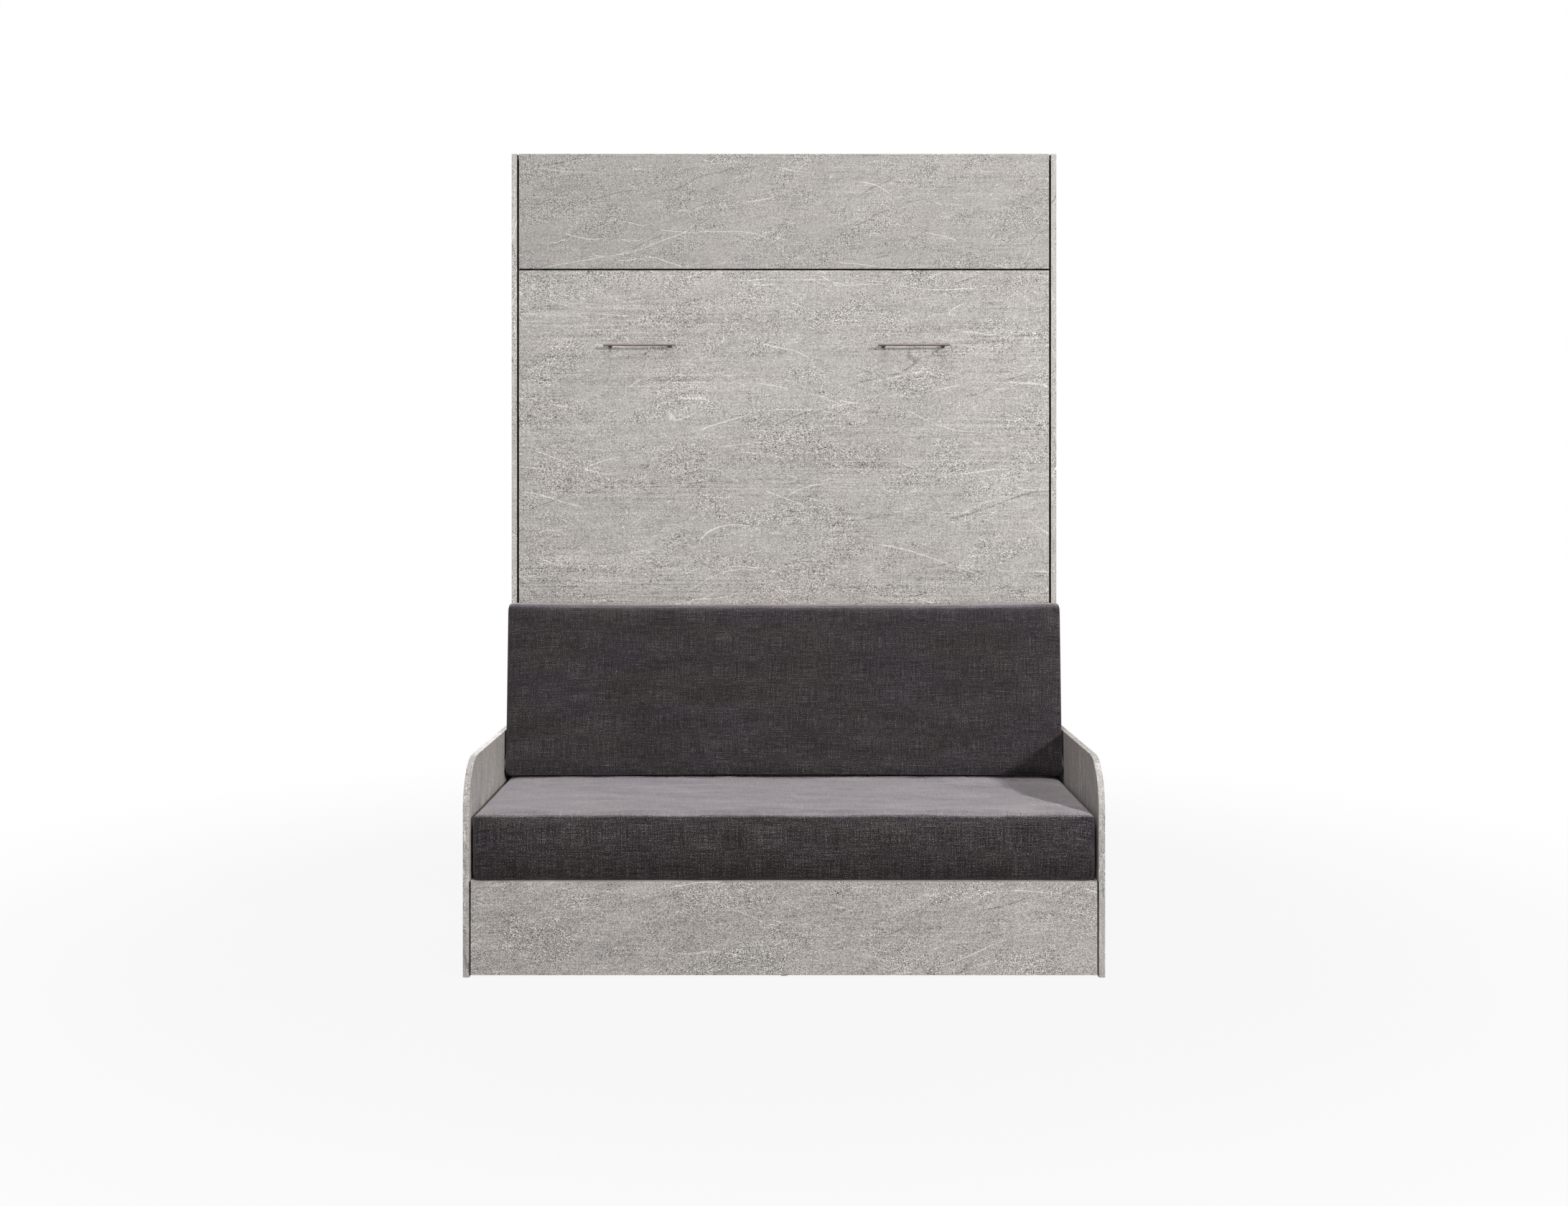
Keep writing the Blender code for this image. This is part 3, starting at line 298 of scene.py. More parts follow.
def trowel_marks(tree, place, bent, amounts):
    """Streaks of two widths along the board, and short strokes across it."""
    streaky = stretch(tree, marks(tree, place, 0.700, 0.110, 2.0, 0.5), 0.44, 0.58)
    streaky = calc(tree, "MULTIPLY", at_least(tree, streaky, 0.25), amounts["Streaks"])
    streaks = marks(tree, place, 0.420, 0.0090, 3.0)
    fine_streaks = marks(tree, place, 0.240, 0.0042)
    rising = stretch(tree, marks(tree, turned(tree, bent, 16), 0.190, 0.0038), 0.655, 0.72)
    falling = stretch(tree, marks(tree, turned(tree, bent, -11), 0.170, 0.0038), 0.65, 0.715)
    dents = stretch(tree, marks(tree, turned(tree, bent, 5), 0.150, 0.0042), 0.66, 0.74)
    return [
        part(tree, streaks, 0.5, 0.42, streaky),
        part(tree, fine_streaks, 0.5, 0.55, streaky),
        part(tree, rising, 0.03, 0.48),
        part(tree, falling, 0.03, 0.48),
        part(tree, dents, 0.03, -0.30),
    ]


def scratches(tree, bent, slanted):
    """Thin light and dark lines that rise or fall along the board, broken by a mask."""
    broken = stretch(tree, marks(tree, slanted, 0.160, 0.060, 3.0), 0.46, 0.56)
    found = []
    for degrees, along, across, value, amount in SCRATCHES:
        here = turned(tree, bent, degrees)
        beside = moved(tree, here, (0.0, 0.0, SCRATCH_WIDTH))
        low, high = value - SCRATCH_SOFT, value + SCRATCH_SOFT
        inner, outer = (
            stretch(tree, marks(tree, spot, along, across, 1.5, 0.45), low, high) for spot in (here, beside)
        )
        line = calc(tree, "MULTIPLY", calc(tree, "SUBTRACT", inner, outer, clamp=True), broken)
        found.append(part(tree, line, 0.0, amount))
    return found


print("Kinds of scratch:", len(SCRATCHES))

# %% [markdown]
# The tree is a node group, so that all the boards share it, and each board asks for its own
# stretch of print and its own amounts. The sum of the marks sets the lightness, and the light
# marks are also a little higher and smoother than the dark ones.

# %% Make the concrete print
CONCRETE_PINK = (0.514, 0.474, 0.450, 1.0)
CONCRETE_GREY = (0.492, 0.472, 0.446, 1.0)
PRINT_AMOUNTS = ("Tone and painted light", "Warmth", "Specks", "Patches", "Streaks")
WANDER = 0.16
SLANT = 8


def concrete_group():
    """Group that turns a place, streaks along X, into colour, roughness and height."""
    tree = bpy.data.node_groups.new("concrete print", "ShaderNodeTree")
    sockets = [("Place", "INPUT", "Vector")]
    sockets += [(name, "INPUT", "Float") for name in PRINT_AMOUNTS]
    sockets += [("Colour", "OUTPUT", "Color"), ("Roughness", "OUTPUT", "Float")]
    sockets += [("Height", "OUTPUT", "Float")]
    for name, way, kind in sockets:
        tree.interface.new_socket(name, in_out=way, socket_type="NodeSocket" + kind)
    given = tree.nodes.new("NodeGroupInput").outputs
    end = tree.nodes.new("NodeGroupOutput")
    place = given["Place"]
    wander = calc(tree, "MULTIPLY_ADD", marks(tree, place, 0.55, 0.30, 1.0, 0.5), WANDER, -WANDER / 2)
    bent = moved(tree, place, add(tree, "CombineXYZ", {"Y": wander, "Z": wander}))
    slanted = turned(tree, bent, SLANT)
    parts = broad_marks(tree, place, slanted, given) + small_marks(tree, place, slanted, given)
    parts += trowel_marks(tree, place, bent, given) + scratches(tree, bent, slanted)
    total = parts[0]
    for item in parts[1:]:
        total = calc(tree, "ADD", total, item)
    lightness = calc(tree, "MULTIPLY", calc(tree, "ADD", total, 1.0), given["Tone and painted light"])
    tint = stretch(tree, marks(tree, place, 0.38, 0.12, 3.0, 0.5), 0.35, 0.65)
    warm = calc(tree, "MULTIPLY_ADD", tint, 0.6, given["Warmth"], clamp=True)
    tinted = blend_colours(tree, warm, CONCRETE_GREY, CONCRETE_PINK)
    grey = add(tree, "CombineColor", {"Red": lightness, "Green": lightness, "Blue": lightness})
    set_inputs(tree, end, {
        "Colour": blend_colours(tree, 1.0, tinted, grey, "MULTIPLY"),
        "Roughness": calc(tree, "MULTIPLY_ADD", total, -0.25, 0.60),
        "Height": calc(tree, "MULTIPLY_ADD", total, 0.5, 0.5),
    })
    return tree


concrete_tree = concrete_group()
print("The concrete print has", len(concrete_tree.nodes), "nodes")

# %% [markdown]
# A board's streaks run along it: level on the face panels, upright on the sides and the arms.
# The group has them along X, so an upright board swaps its axes first.
#
# The gaps between the boards are only a few millimetres wide, and the shade deep in them reads as black
# lines. The faces that line a gap are painted dark by their place on the board, as deep as light reaches:
# this is painted shade.

# %% A board's finish
GAP_SHADE_COLOUR = (0.012, 0.012, 0.012, 1.0)
PRINT_RELIEF = 0.0003


def in_corner(tree, limits):
    """1 where a point of the piece is past every limit: (axis, place, whether below it)."""
    place = axes_of(tree, object_place(tree))
    inside = 1.0
    for axis, limit, below in limits:
        off_middle = calc(tree, "ABSOLUTE", place[axis])
        past = calc(tree, "LESS_THAN" if below else "GREATER_THAN", off_middle, limit)
        inside = calc(tree, "MULTIPLY", inside, past)
    return inside


def concrete_board(name, offset, upright, amounts, *dark):
    """A concrete board finish with its own stretch of the print, and painted shade on the faces or edges that
    line a gap.
    """
    material, tree, shader = new_finish(name)
    place = object_place(tree, offset)
    if upright:
        x, y, z = axes_of(tree, place)
        place = add(tree, "CombineXYZ", {"X": z, "Y": x, "Z": y})
    group = tree.nodes.new("ShaderNodeGroup")
    group.node_tree = concrete_tree
    set_inputs(tree, group, {"Place": place, **dict(zip(PRINT_AMOUNTS, amounts))})
    colour = group.outputs["Colour"]
    # Each set of limits marks faces that line a gap: they get painted shade, near black
    for limits in dark:
        colour = blend_colours(tree, in_corner(tree, limits), colour, GAP_SHADE_COLOUR)
    set_inputs(tree, shader, {
        "Base Color": colour,
        "Roughness": group.outputs["Roughness"],
        "Normal": relief(tree, group.outputs["Height"], PRINT_RELIEF),
        "Specular IOR Level": 0.35,
    })
    return material


print("A board can be dark where it lines a gap")

# %% Put the print on the boards
SKIN = 0.0004
ROUND = 0.0010
GAP_DEPTH = 0.024
header_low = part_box("front_panel_header")[0]
main_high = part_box("front_panel_main")[1]
side_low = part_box("cabinet_side_right")[0]
arm_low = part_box("sofa_arm_right")[0]
base_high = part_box("sofa_front_board")[1]
# Where painted shade goes: the faces and edges that line the split, the side gaps and the gaps beside the
# sofa's front board
split_above = (("Z", header_low.z + ROUND, True),)
split_below = (("Z", main_high.z - ROUND, False),)
panel_end = (("X", main_high.x - SKIN, False),)
side_gap = (("X", side_low.x + SKIN, True), ("Y", side_low.y + GAP_DEPTH, True))
base_gap = (("X", arm_low.x + SKIN, True), ("Z", base_high.z, True))
base_end = (("X", base_high.x - SKIN, False),)
# The print is the same on every board, so the tone that differs from board to board is painted light and
# shade: each board is made as light or dark as it looks under the light
# Where its stretch of print starts, whether it stands upright, the five amounts, and where shade is painted
BOARDS = {
    "front_panel_header": ((0.0, 0.0, 0.0), False, (0.815, 0.10, 0.90, 0.80, 0.7), split_above, panel_end),
    "front_panel_main": ((3.1, 0.4, 1.7), False, (0.945, 0.15, 0.90, 1.0, 1.4), split_below, panel_end),
    "sofa_front_board": ((5.3, 1.1, 0.2), False, (0.885, 0.55, 1.12, 1.3, 0.6), base_end),
    "lower_front_board": ((9.7, 0.9, 0.6), False, (1.0, 0.20, 0.9, 1.0, 1.0)),
    "cabinet_side_left": ((0.0, 0.0, 6.1), True, (1.12, 0.30, 0.8, 1.0, 1.0), side_gap),
    "cabinet_side_right": ((0.0, 2.3, 8.4), True, (1.02, 0.30, 0.8, 1.0, 1.0), side_gap),
    "cabinet_top": ((1.9, 5.2, 0.0), False, (1.0, 0.20, 0.8, 1.0, 1.0)),
    "sofa_arm_left": ((0.0, 4.4, 2.9), True, (0.95, 0.30, 0.6, 2.0, 1.4), base_gap),
    "sofa_arm_right": ((0.0, 7.5, 4.8), True, (0.93, 0.30, 0.6, 2.0, 1.4), base_gap),
}
for board, facts in BOARDS.items():
    finish(concrete_board("concrete " + board.replace("_", " "), *facts), board)
print("Concrete boards:", len(BOARDS))

# %% [markdown]
# ## White boards and hardboard
#
# The boards that nobody sees are coated white, with a very fine grain like orange peel. The
# back is two thin sheets of white coated hardboard. One finish serves them all.

# %% White board finish
WHITE_COAT = (0.66, 0.65, 0.63, 1.0)
WHITE_COAT_DARK = (0.635, 0.625, 0.605, 1.0)
PEARL = 0.0012


def white_board():
    """A coated board with a fine pearl grain."""
    material, tree, shader = new_finish("white coated board")
    place = object_place(tree)
    pearl = spots(tree, place, (PEARL,) * 3, 1.0)
    cloud = stretch(tree, spots(tree, place, (0.30,) * 3, 3.0), 0.3, 0.7)
    set_inputs(tree, shader, {
        "Base Color": blend_colours(tree, cloud, WHITE_COAT, WHITE_COAT_DARK),
        "Roughness": calc(tree, "MULTIPLY_ADD", pearl, 0.3, 0.32),
        "Normal": relief(tree, pearl, PEARL / 10),
    })
    return material


finish(
    white_board(),
    "wall_rail",
    "rear_rail",
    "back_sheet_lower",
    "back_sheet_upper",
    "sofa_rear_board",
    "seat_platform",
    "platform_support",
)
print("White boards are finished")

# %% [markdown]
# ## Birch
#
# The slats, the cleats and the board behind the backrest are birch plywood. Its grain is long
# thin noise along the piece. A wave that the noise bends gives the broad flames of peeled
# wood.

# %% Birch finish
BIRCH_LIGHT = (0.66, 0.48, 0.30, 1.0)
BIRCH_DARK = (0.50, 0.33, 0.18, 1.0)
FLAME_BENDS = 60.0
PORE_DEPTH = 0.00015


def birch(name, along):
    """Peeled birch with its grain along one axis."""
    material, tree, shader = new_finish(name)
    place = object_place(tree)

    def lying(length, width, detail, roughness=0.5):
        """Noise that lies along the grain."""
        size = tuple(length if axis == along else width for axis in "XYZ")
        return spots(tree, place, size, detail, roughness)

    grain = lying(0.35, 0.006, 4.0, 0.6)
    pores = lying(0.010, 0.0008, 1.0)
    flames = calc(tree, "SINE", calc(tree, "MULTIPLY", lying(1.2, 0.05, 2.0), FLAME_BENDS))
    share = calc(tree, "MULTIPLY_ADD", flames, 0.14, calc(tree, "MULTIPLY_ADD", grain, 1.3, -0.25))
    share = calc(tree, "ADD", share, calc(tree, "MULTIPLY_ADD", pores, 0.5, -0.25), clamp=True)
    set_inputs(tree, shader, {
        "Base Color": blend_colours(tree, share, BIRCH_LIGHT, BIRCH_DARK),
        "Roughness": calc(tree, "MULTIPLY_ADD", grain, 0.2, 0.38),
        "Normal": relief(tree, pores, PORE_DEPTH),
    })
    return material


finish(birch("birch, grain left to right", "X"), "slatted_base", "backrest_board")
finish(birch("birch, grain front to back", "Y"), "platform_cleat_left", "platform_cleat_right")
print("Birch is finished")

# %% [markdown]
# ## Metal, plastic and rubber
#
# Powder paint isn't smooth: it flows into a skin like fine orange peel, which breaks up its
# highlights. Zinc has cloudy crystals. The handles are brushed steel, so their roughness and
# relief run in fine lines along the bar. Moulded plastic and rubber have a fine even grain.

# %% Finishes of the fittings

def grained(name, colour, metallic, roughness, swing, size, depth, shade=0.12):
    """A plain colour whose roughness, lightness and relief follow one fine noise."""
    material, tree, shader = new_finish(name)
    place = object_place(tree)
    fine = spots(tree, place, size, 2.0)
    slow = spots(tree, place, (0.08,) * 3, 3.0)
    dark = tuple(value * (1 - shade) for value in colour) + (1.0,)
    light = tuple(min(1.0, value * (1 + shade)) for value in colour) + (1.0,)
    both = calc(tree, "MULTIPLY_ADD", slow, 0.6, calc(tree, "MULTIPLY", fine, 0.4))
    set_inputs(tree, shader, {
        "Base Color": blend_colours(tree, stretch(tree, both, 0.3, 0.7), dark, light),
        "Roughness": calc(tree, "MULTIPLY_ADD", fine, swing, roughness - swing / 2),
        "Normal": relief(tree, fine, depth),
        "Metallic": metallic,
    })
    return material


grey_paint = grained("grey powder paint", (0.20, 0.20, 0.21), 0.0, 0.45, 0.20, (0.0016,) * 3, 0.00010)
black_paint = grained("black gloss paint", (0.018, 0.018, 0.019), 0.0, 0.28, 0.12, (0.0020,) * 3, 0.00004)
zinc = grained("zinc", (0.58, 0.58, 0.60), 1.0, 0.36, 0.20, (0.0040,) * 3, 0.00003)
rod_steel = grained("polished rod", (0.62, 0.62, 0.63), 1.0, 0.14, 0.08, (0.0020, 0.0020, 0.0300), 0.00001)
brushed_steel = grained(
    "brushed steel", (0.17, 0.135, 0.13), 0.5, 0.36, 0.20, (0.0300, 0.0004, 0.0004), 0.00002
)
sleeve_steel = grained("dark sleeve steel", (0.060, 0.054, 0.054), 0.6, 0.34, 0.15, (0.0010,) * 3, 0.00002)
grey_plastic = grained("grey plastic", (0.30, 0.30, 0.30), 0.0, 0.50, 0.15, (0.0008,) * 3, 0.00005)
rubber = grained("black rubber", (0.022, 0.022, 0.022), 0.0, 0.80, 0.20, (0.0012,) * 3, 0.00010)

for side in ("left", "right"):
    finish(
        grey_paint,
        f"pivot_plate_{side}",
        f"strut_plate_{side}",
        f"backrest_hinge_{side}",
        f"bed_rail_{side}",
        f"bed_bracket_{side}",
        f"leg_{side}",
    )
    finish(zinc, f"wall_screw_{side}", f"leg_pivot_{side}")
    finish(rubber, f"bed_stop_{side}", f"leg_foot_{side}")
    finish(grey_plastic, f"backrest_bush_{side}", f"bed_bush_{side}")
    finish(black_paint, f"strut_cylinder_{side}")
    finish(rod_steel, f"strut_rod_{side}")
    finish(brushed_steel, f"handle_{side}")
finish(grey_paint, "bed_head_bar", "bed_foot_bar", "bed_centre_beam", "mattress_stop")
finish(grey_plastic, "back_joint_strip")
print("Fittings are finished")

# %% [markdown]
# ## Charcoal linen
#
# The sofa's cloth is a plain weave of dark grey yarn with slubs: thicker, lighter stretches that run across
# and down. Each kind of thread is a noise that is long one way and about 2 mm wide the other way. Seen from
# the front the cloth is nearly black-grey, but the seat, which the camera sees at a flat angle, looks light
# mauve. Part of that is the fuzz of the yarn, which catches light at flat angles, and Blender's sheen does
# just that. The rest is painted light: each cushion has the cloth in a few naps, copies that grow lighter in
# colour and stronger in sheen the more their faces look up, standing in for the light from above.
#
# The pattern must not break at the edges of a cushion, so its second coordinate is Y plus Z:
# it climbs the front face and then runs on over the top.

# %% Threads of the linen
LINEN_DARK = (0.0060, 0.0052, 0.0056, 1.0)
LINEN_MID = (0.0330, 0.0290, 0.0300, 1.0)
LINEN_LIGHT = (0.1900, 0.1750, 0.1725, 1.0)
WEAVE_PITCH = 0.0042
END_FACING = 0.7
# Width and height of each kind of thread, and how much it shows: slubs, yarn, then fuzz
THREADS = (
    (0.0800, 0.0022, 0.70),
    (0.0022, 0.0800, 0.60),
    (0.0240, 0.0021, 0.55),
    (0.0021, 0.0200, 0.55),
    (0.0024, 0.0023, 2.00),
)


def cloth_place(tree, offset):
    """X across the cloth, and Y plus Z up and over it. An end panel has Y across and Z up."""
    x, y, z = axes_of(tree, object_place(tree, offset))
    facing = axes_of(tree, add(tree, "TexCoord", output="Normal"))["X"]
    on_end = calc(tree, "GREATER_THAN", calc(tree, "ABSOLUTE", facing), END_FACING)
    across = add(tree, "Mix", {0: on_end, 2: x, 3: y})
    along = add(tree, "Mix", {0: on_end, 2: calc(tree, "ADD", y, z), 3: z})
    return add(tree, "CombineXYZ", {"X": across, "Y": along}), across, along


def thread_shares(tree, place, across, along, contrast, mottle):
    """How light the yarn is at each place, and the plain weave under it."""
    weave = calc(tree, "MULTIPLY", ripple(tree, across, WEAVE_PITCH), ripple(tree, along, WEAVE_PITCH))
    share = calc(tree, "MULTIPLY_ADD", weave, 0.08, 0.355)
    kinds = []
    for width, height, shows in THREADS:
        kinds.append((spots(tree, place, (width, height, 1.0), 0.0), shows * contrast))
    kinds.append((spots(tree, place, (0.22, 0.065, 1.0)), mottle))
    for noise_value, amount in kinds:
        share = calc(tree, "MULTIPLY_ADD", calc(tree, "SUBTRACT", noise_value, 0.5), amount, share)
    return share, weave


print("Kinds of thread:", len(THREADS))

# %% [markdown]
# A colour ramp turns the share into yarn from nearly black to light grey. A slow noise makes some of the
# cloth a little more mauve. The foot of each front face, which the light hardly reaches, is painted a little
# darker and browner: painted shade.

# %% Linen finish
FOOT_BAND = 0.11
FOOT_SHADE_TINT = (0.66, 0.59, 0.56, 1.0)
GREY_TINT = (1.02, 1.0, 0.97, 1.0)
MAUVE_TINT = (1.0, 0.96, 1.06, 1.0)
WHITE = (1.0, 1.0, 1.0, 1.0)
RAMP_STOPS = (0.02, 0.46, 1.0)
FUZZ_TINT = (1.0, 0.93, 0.985, 1.0)


def linen(name, offset, foot, contrast, painted_light_nap, lightness, depth, mottle):
    """Dark slubby linen with a soft fuzz, with painted shade that makes it darker and browner towards its
    foot.
    """
    material, tree, shader = new_finish(name)
    place, across, along = cloth_place(tree, offset)
    share, weave = thread_shares(tree, place, across, along, contrast, mottle)
    ramp = tree.nodes.new("ShaderNodeValToRGB")
    stops = ramp.color_ramp.elements
    stops.new(RAMP_STOPS[1])
    # The lightness scales the yarn colours: naps on faces that look up are painted lighter, as painted light
    # from above
    for stop, position, colour in zip(stops, RAMP_STOPS, (LINEN_DARK, LINEN_MID, LINEN_LIGHT)):
        stop.position = position
        stop.color = tuple(lightness * value for value in colour[:3]) + (1.0,)
    tree.links.new(share, ramp.inputs["Fac"])
    mauve = stretch(tree, spots(tree, place, (0.30, 0.12, 1.0)), 0.35, 0.70)
    tint = blend_colours(tree, mauve, GREY_TINT, MAUVE_TINT)
    colour = blend_colours(tree, 1.0, ramp.outputs["Color"], tint, "MULTIPLY")
    # Painted shade: the cloth is darker and browner below its foot, fading out over the band above it
    above = stretch(tree, axes_of(tree, object_place(tree))["Z"], foot, foot + FOOT_BAND)
    shade = blend_colours(tree, above, FOOT_SHADE_TINT, WHITE)
    set_inputs(tree, shader, {
        "Base Color": blend_colours(tree, 1.0, colour, shade, "MULTIPLY"),
        "Normal": relief(tree, calc(tree, "MULTIPLY_ADD", weave, 0.12, share), depth),
        "Roughness": 0.95,
        "Specular IOR Level": 0.10,
        "Sheen Weight": painted_light_nap,
        "Sheen Roughness": 0.50,
        "Sheen Tint": FUZZ_TINT,
    })
    return material


# The sheen, the painted lightness, the relief and the mottle of the naps, from flat to fully raised: the
# sheen and lightness that rise towards faces that look up are painted light
PAINTED_LIGHT_NAPS = (
    (0.28, 1.36, 0.0006, 0.24),
    (0.42, 1.70, 0.0008, 0.40),
    (0.72, 2.50, 0.0012, 0.60),
    (0.90, 3.30, 0.0018, 0.70),
    (1.00, 3.90, 0.0022, 0.80),
)
SEAT_CONTRAST = 0.66
BACKREST_CONTRAST = 0.50
seat_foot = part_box("seat_cushion")[0].z
seat_linen = []
backrest_linen = []
for index, painted_light_nap in enumerate(PAINTED_LIGHT_NAPS):
    name = f"charcoal linen of the seat, nap {index}"
    seat_linen.append(linen(name, (0.0, 0.0, 0.0), seat_foot, SEAT_CONTRAST, *painted_light_nap))
    name = f"charcoal linen of the backrest, nap {index}"
    backrest_linen.append(linen(name, (0.7, 0.0, 2.3), 0.0, BACKREST_CONTRAST, *painted_light_nap))
print("Linen has", len(seat_linen[0].node_tree.nodes), "nodes")

# %% [markdown]
# ## Stuffed blocks
#
# A sofa cushion is a block of foam in a sewn cover. The front and the top are one panel that
# wraps round a soft edge. The two ends are panels of their own, and the seams run round them.
#
# The mesh is a lattice over the block, with points placed so that some of its lines lie just
# on the seams. Blender's Cloth then blows it up a little, with the seam lines pinned, as the
# foam fills the cover. A cap keeps each point near its start, and the faces that rest on a
# board stay flat. Remeshing with voxels would also work, but it would lose the lines that
# carry the seams.
#
# The edges grow tighter towards the two ends. They never close fully, because lattice points
# that fall together stop the Cloth modifier.

# %% Places along a block


def steps(start, stop, size):
    """Evenly spaced places from start to stop, about a size apart, without the last one."""
    count = max(1, round((stop - start) / size))
    return [start + (stop - start) * index / count for index in range(count)]


def quarter_places(half, edge, size, extra=()):
    """Even places from 0 to the start of the edge, with extra lines just before the edge."""
    flat = half - edge
    stops = [0.0] + [flat - before for before in sorted(extra, reverse=True)] + [flat]
    places = []
    for start, stop in zip(stops, stops[1:]):
        places += steps(start, stop, size)
    return places, flat


def mirrored(places, last):
    """The same places on both sides of 0."""
    upper = places + last
    return [-value for value in reversed(upper) if value > 0] + upper


print("A block's places can be set")

# %% Lattice for stuffed blocks
EDGE_STEPS = 4
LEAST_BEND = 0.0012
SEAM_LINES = (0.0025, 0.0075)
TINY = 1e-6


def block_places(half, edge, end_edge, size, seams):
    """Places along X, Y and Z, closer round the edges, and the X where the ends begin to turn."""
    inner, flat = quarter_places(half[0], end_edge, size, SEAM_LINES if seams else ())
    turns = [math.radians(90 * step / EDGE_STEPS) for step in range(EDGE_STEPS + 1)]
    places = [mirrored(inner, [flat + end_edge * math.sin(turn) for turn in turns])]
    for axis in (1, 2):
        inner, flat_side = quarter_places(half[axis], edge, size)
        bends = [math.radians(45 * step / EDGE_STEPS) for step in range(EDGE_STEPS + 1)]
        places.append(mirrored(inner, [flat_side + edge * math.tan(bend) for bend in bends]))
    return places, flat


def outer_cells(counts):
    """The four corner keys of each cell on the outside of a lattice, one side at a time."""
    for axis in range(3):
        first, second = [other for other in range(3) if other != axis]
        for end in (0, counts[axis]):
            for i in range(counts[first]):
                for j in range(counts[second]):
                    keys = []
                    for di, dj in ((0, 0), (1, 0), (1, 1), (0, 1)):
                        key = [0, 0, 0]
                        key[axis], key[first], key[second] = end, i + di, j + dj
                        keys.append(tuple(key))
                    yield keys


print("A lattice of one cell has", len(list(outer_cells((1, 1, 1)))), "faces")

# %% [markdown]
# The places make a box with square edges. Each cross-section is then made round: what sticks out
# past the flat part is shortened until it lies on a curve. Towards an end the section is drawn
# in as well.

# %% Make a block
ROUND_POWER = 2.0


def round_section(cut, half, edge, inset, low_power):
    """Y and Z of a lattice point, with the edges round and the section drawn in by the inset."""
    core = []
    spot = []
    for axis, value in enumerate(cut, 1):
        limit = half[axis] - edge
        core.append(max(-limit, min(limit, value)))
        spot.append(value - core[-1])
    reach = max(abs(spot[0]), abs(spot[1]))
    power = low_power if spot[1] < 0 else ROUND_POWER
    length = (abs(spot[0]) ** power + abs(spot[1]) ** power) ** (1 / power)
    bend = max(LEAST_BEND, edge - inset)
    grow = reach / length * bend / edge if length else 0.0
    return [
        core[side] * (half[side + 1] - inset - bend) / (half[side + 1] - edge) + spot[side] * grow
        for side in (0, 1)
    ]


def block_lattice(name, middle, half, edge, end_edge, size, seams=False, low_power=ROUND_POWER):
    """A closed block with edges of radius `edge` along X and `end_edge` at its two X ends.

    A power above 2 makes the lower edges squarer, as a weight does that rests on a board.
    Returns the object and the seam points: with seams, a line round each end.
    """
    places, flat = block_places(half, edge, end_edge, size, seams)
    counts = [len(row) - 1 for row in places]
    bm = bmesh.new()
    corners = {}
    pinned = []

    def corner(key):
        """The lattice point with three counts as its key, made when it is first asked for."""
        if key in corners:
            return corners[key]
        x, *cut = (row[number] for row, number in zip(places, key))
        over = max(0.0, abs(x) - flat)
        inset = end_edge - math.sqrt(max(0.0, end_edge ** 2 - over ** 2))
        y, z = round_section(cut, half, edge, inset, low_power)
        corners[key] = bm.verts.new(Vector(middle) + Vector((x, y, z)))
        on_skin = any(key[axis] in (0, counts[axis]) for axis in (1, 2))
        if seams and on_skin and abs(abs(x) - flat) < TINY:
            pinned.append(corners[key])
        return corners[key]

    for keys in outer_cells(counts):
        bm.faces.new([corner(key) for key in keys])
    bmesh.ops.recalc_face_normals(bm, faces=bm.faces)
    bm.verts.index_update()
    pin_indices = [vert.index for vert in pinned]
    mesh = bpy.data.meshes.new(name)
    bm.to_mesh(mesh)
    bm.free()
    mesh.shade_smooth()
    obj = bpy.data.objects.new(name, mesh)
    scene.collection.objects.link(obj)
    return obj, pin_indices


print("Lattice maker is ready")

# %% Read and write the points of a mesh

def points_of(mesh):
    """All vertex places of a mesh as rows of x, y, z."""
    places = np.zeros(len(mesh.vertices) * 3)
    mesh.vertices.foreach_get("co", places)
    return places.reshape(-1, 3)


def set_points(mesh, places):
    """Write vertex places back."""
    mesh.vertices.foreach_set("co", places.ravel())
    mesh.update()


print("Points can be read and written")

# %% [markdown]
# ## Stuffing
#
# The Cloth modifier treats the mesh as a skin with air inside. Gravity is off, because the
# foam carries itself. After twenty frames the shape is read back, each point's move is capped,
# and the modifier goes.

# %% Blow up a cover
STUFFING_FRAMES = 20
CLOTH_STIFFNESS = 12.0
NO_LENGTH = 1e-9


def stuff(obj, pins, pressure, cap):
    """Inflate a closed cover, holding its pinned points, and cap how far each point moves."""
    before = points_of(obj.data)
    group = obj.vertex_groups.new(name="seams")
    group.add(pins, 1.0, "REPLACE")
    cloth = obj.modifiers.new("stuffing", "CLOTH")
    cloth.settings.vertex_group_mass = "seams"
    cloth.settings.use_pressure = True
    cloth.settings.uniform_pressure_force = pressure
    cloth.settings.effector_weights.gravity = 0.0
    cloth.settings.tension_stiffness = CLOTH_STIFFNESS
    cloth.settings.compression_stiffness = CLOTH_STIFFNESS
    cloth.settings.bending_stiffness = 2.0
    cloth.settings.quality = 5
    cloth.collision_settings.use_collision = False
    for number in range(1, STUFFING_FRAMES + 1):
        scene.frame_set(number)
    shape = obj.evaluated_get(bpy.context.evaluated_depsgraph_get())
    after = points_of(shape.data)
    obj.modifiers.remove(cloth)
    obj.vertex_groups.remove(group)
    scene.frame_set(1)
    move = after - before
    length = np.linalg.norm(move, axis=1, keepdims=True)
    mean, most = length.mean() * 1000, length.max() * 1000
    print(f"{obj.name}: moved {mean:.1f} mm on average, {most:.1f} mm at most, before the cap")
    move *= np.minimum(1.0, cap / np.maximum(length, NO_LENGTH))
    set_points(obj.data, before + move)
    return before + move


print("Stuffing takes", STUFFING_FRAMES, "frames")

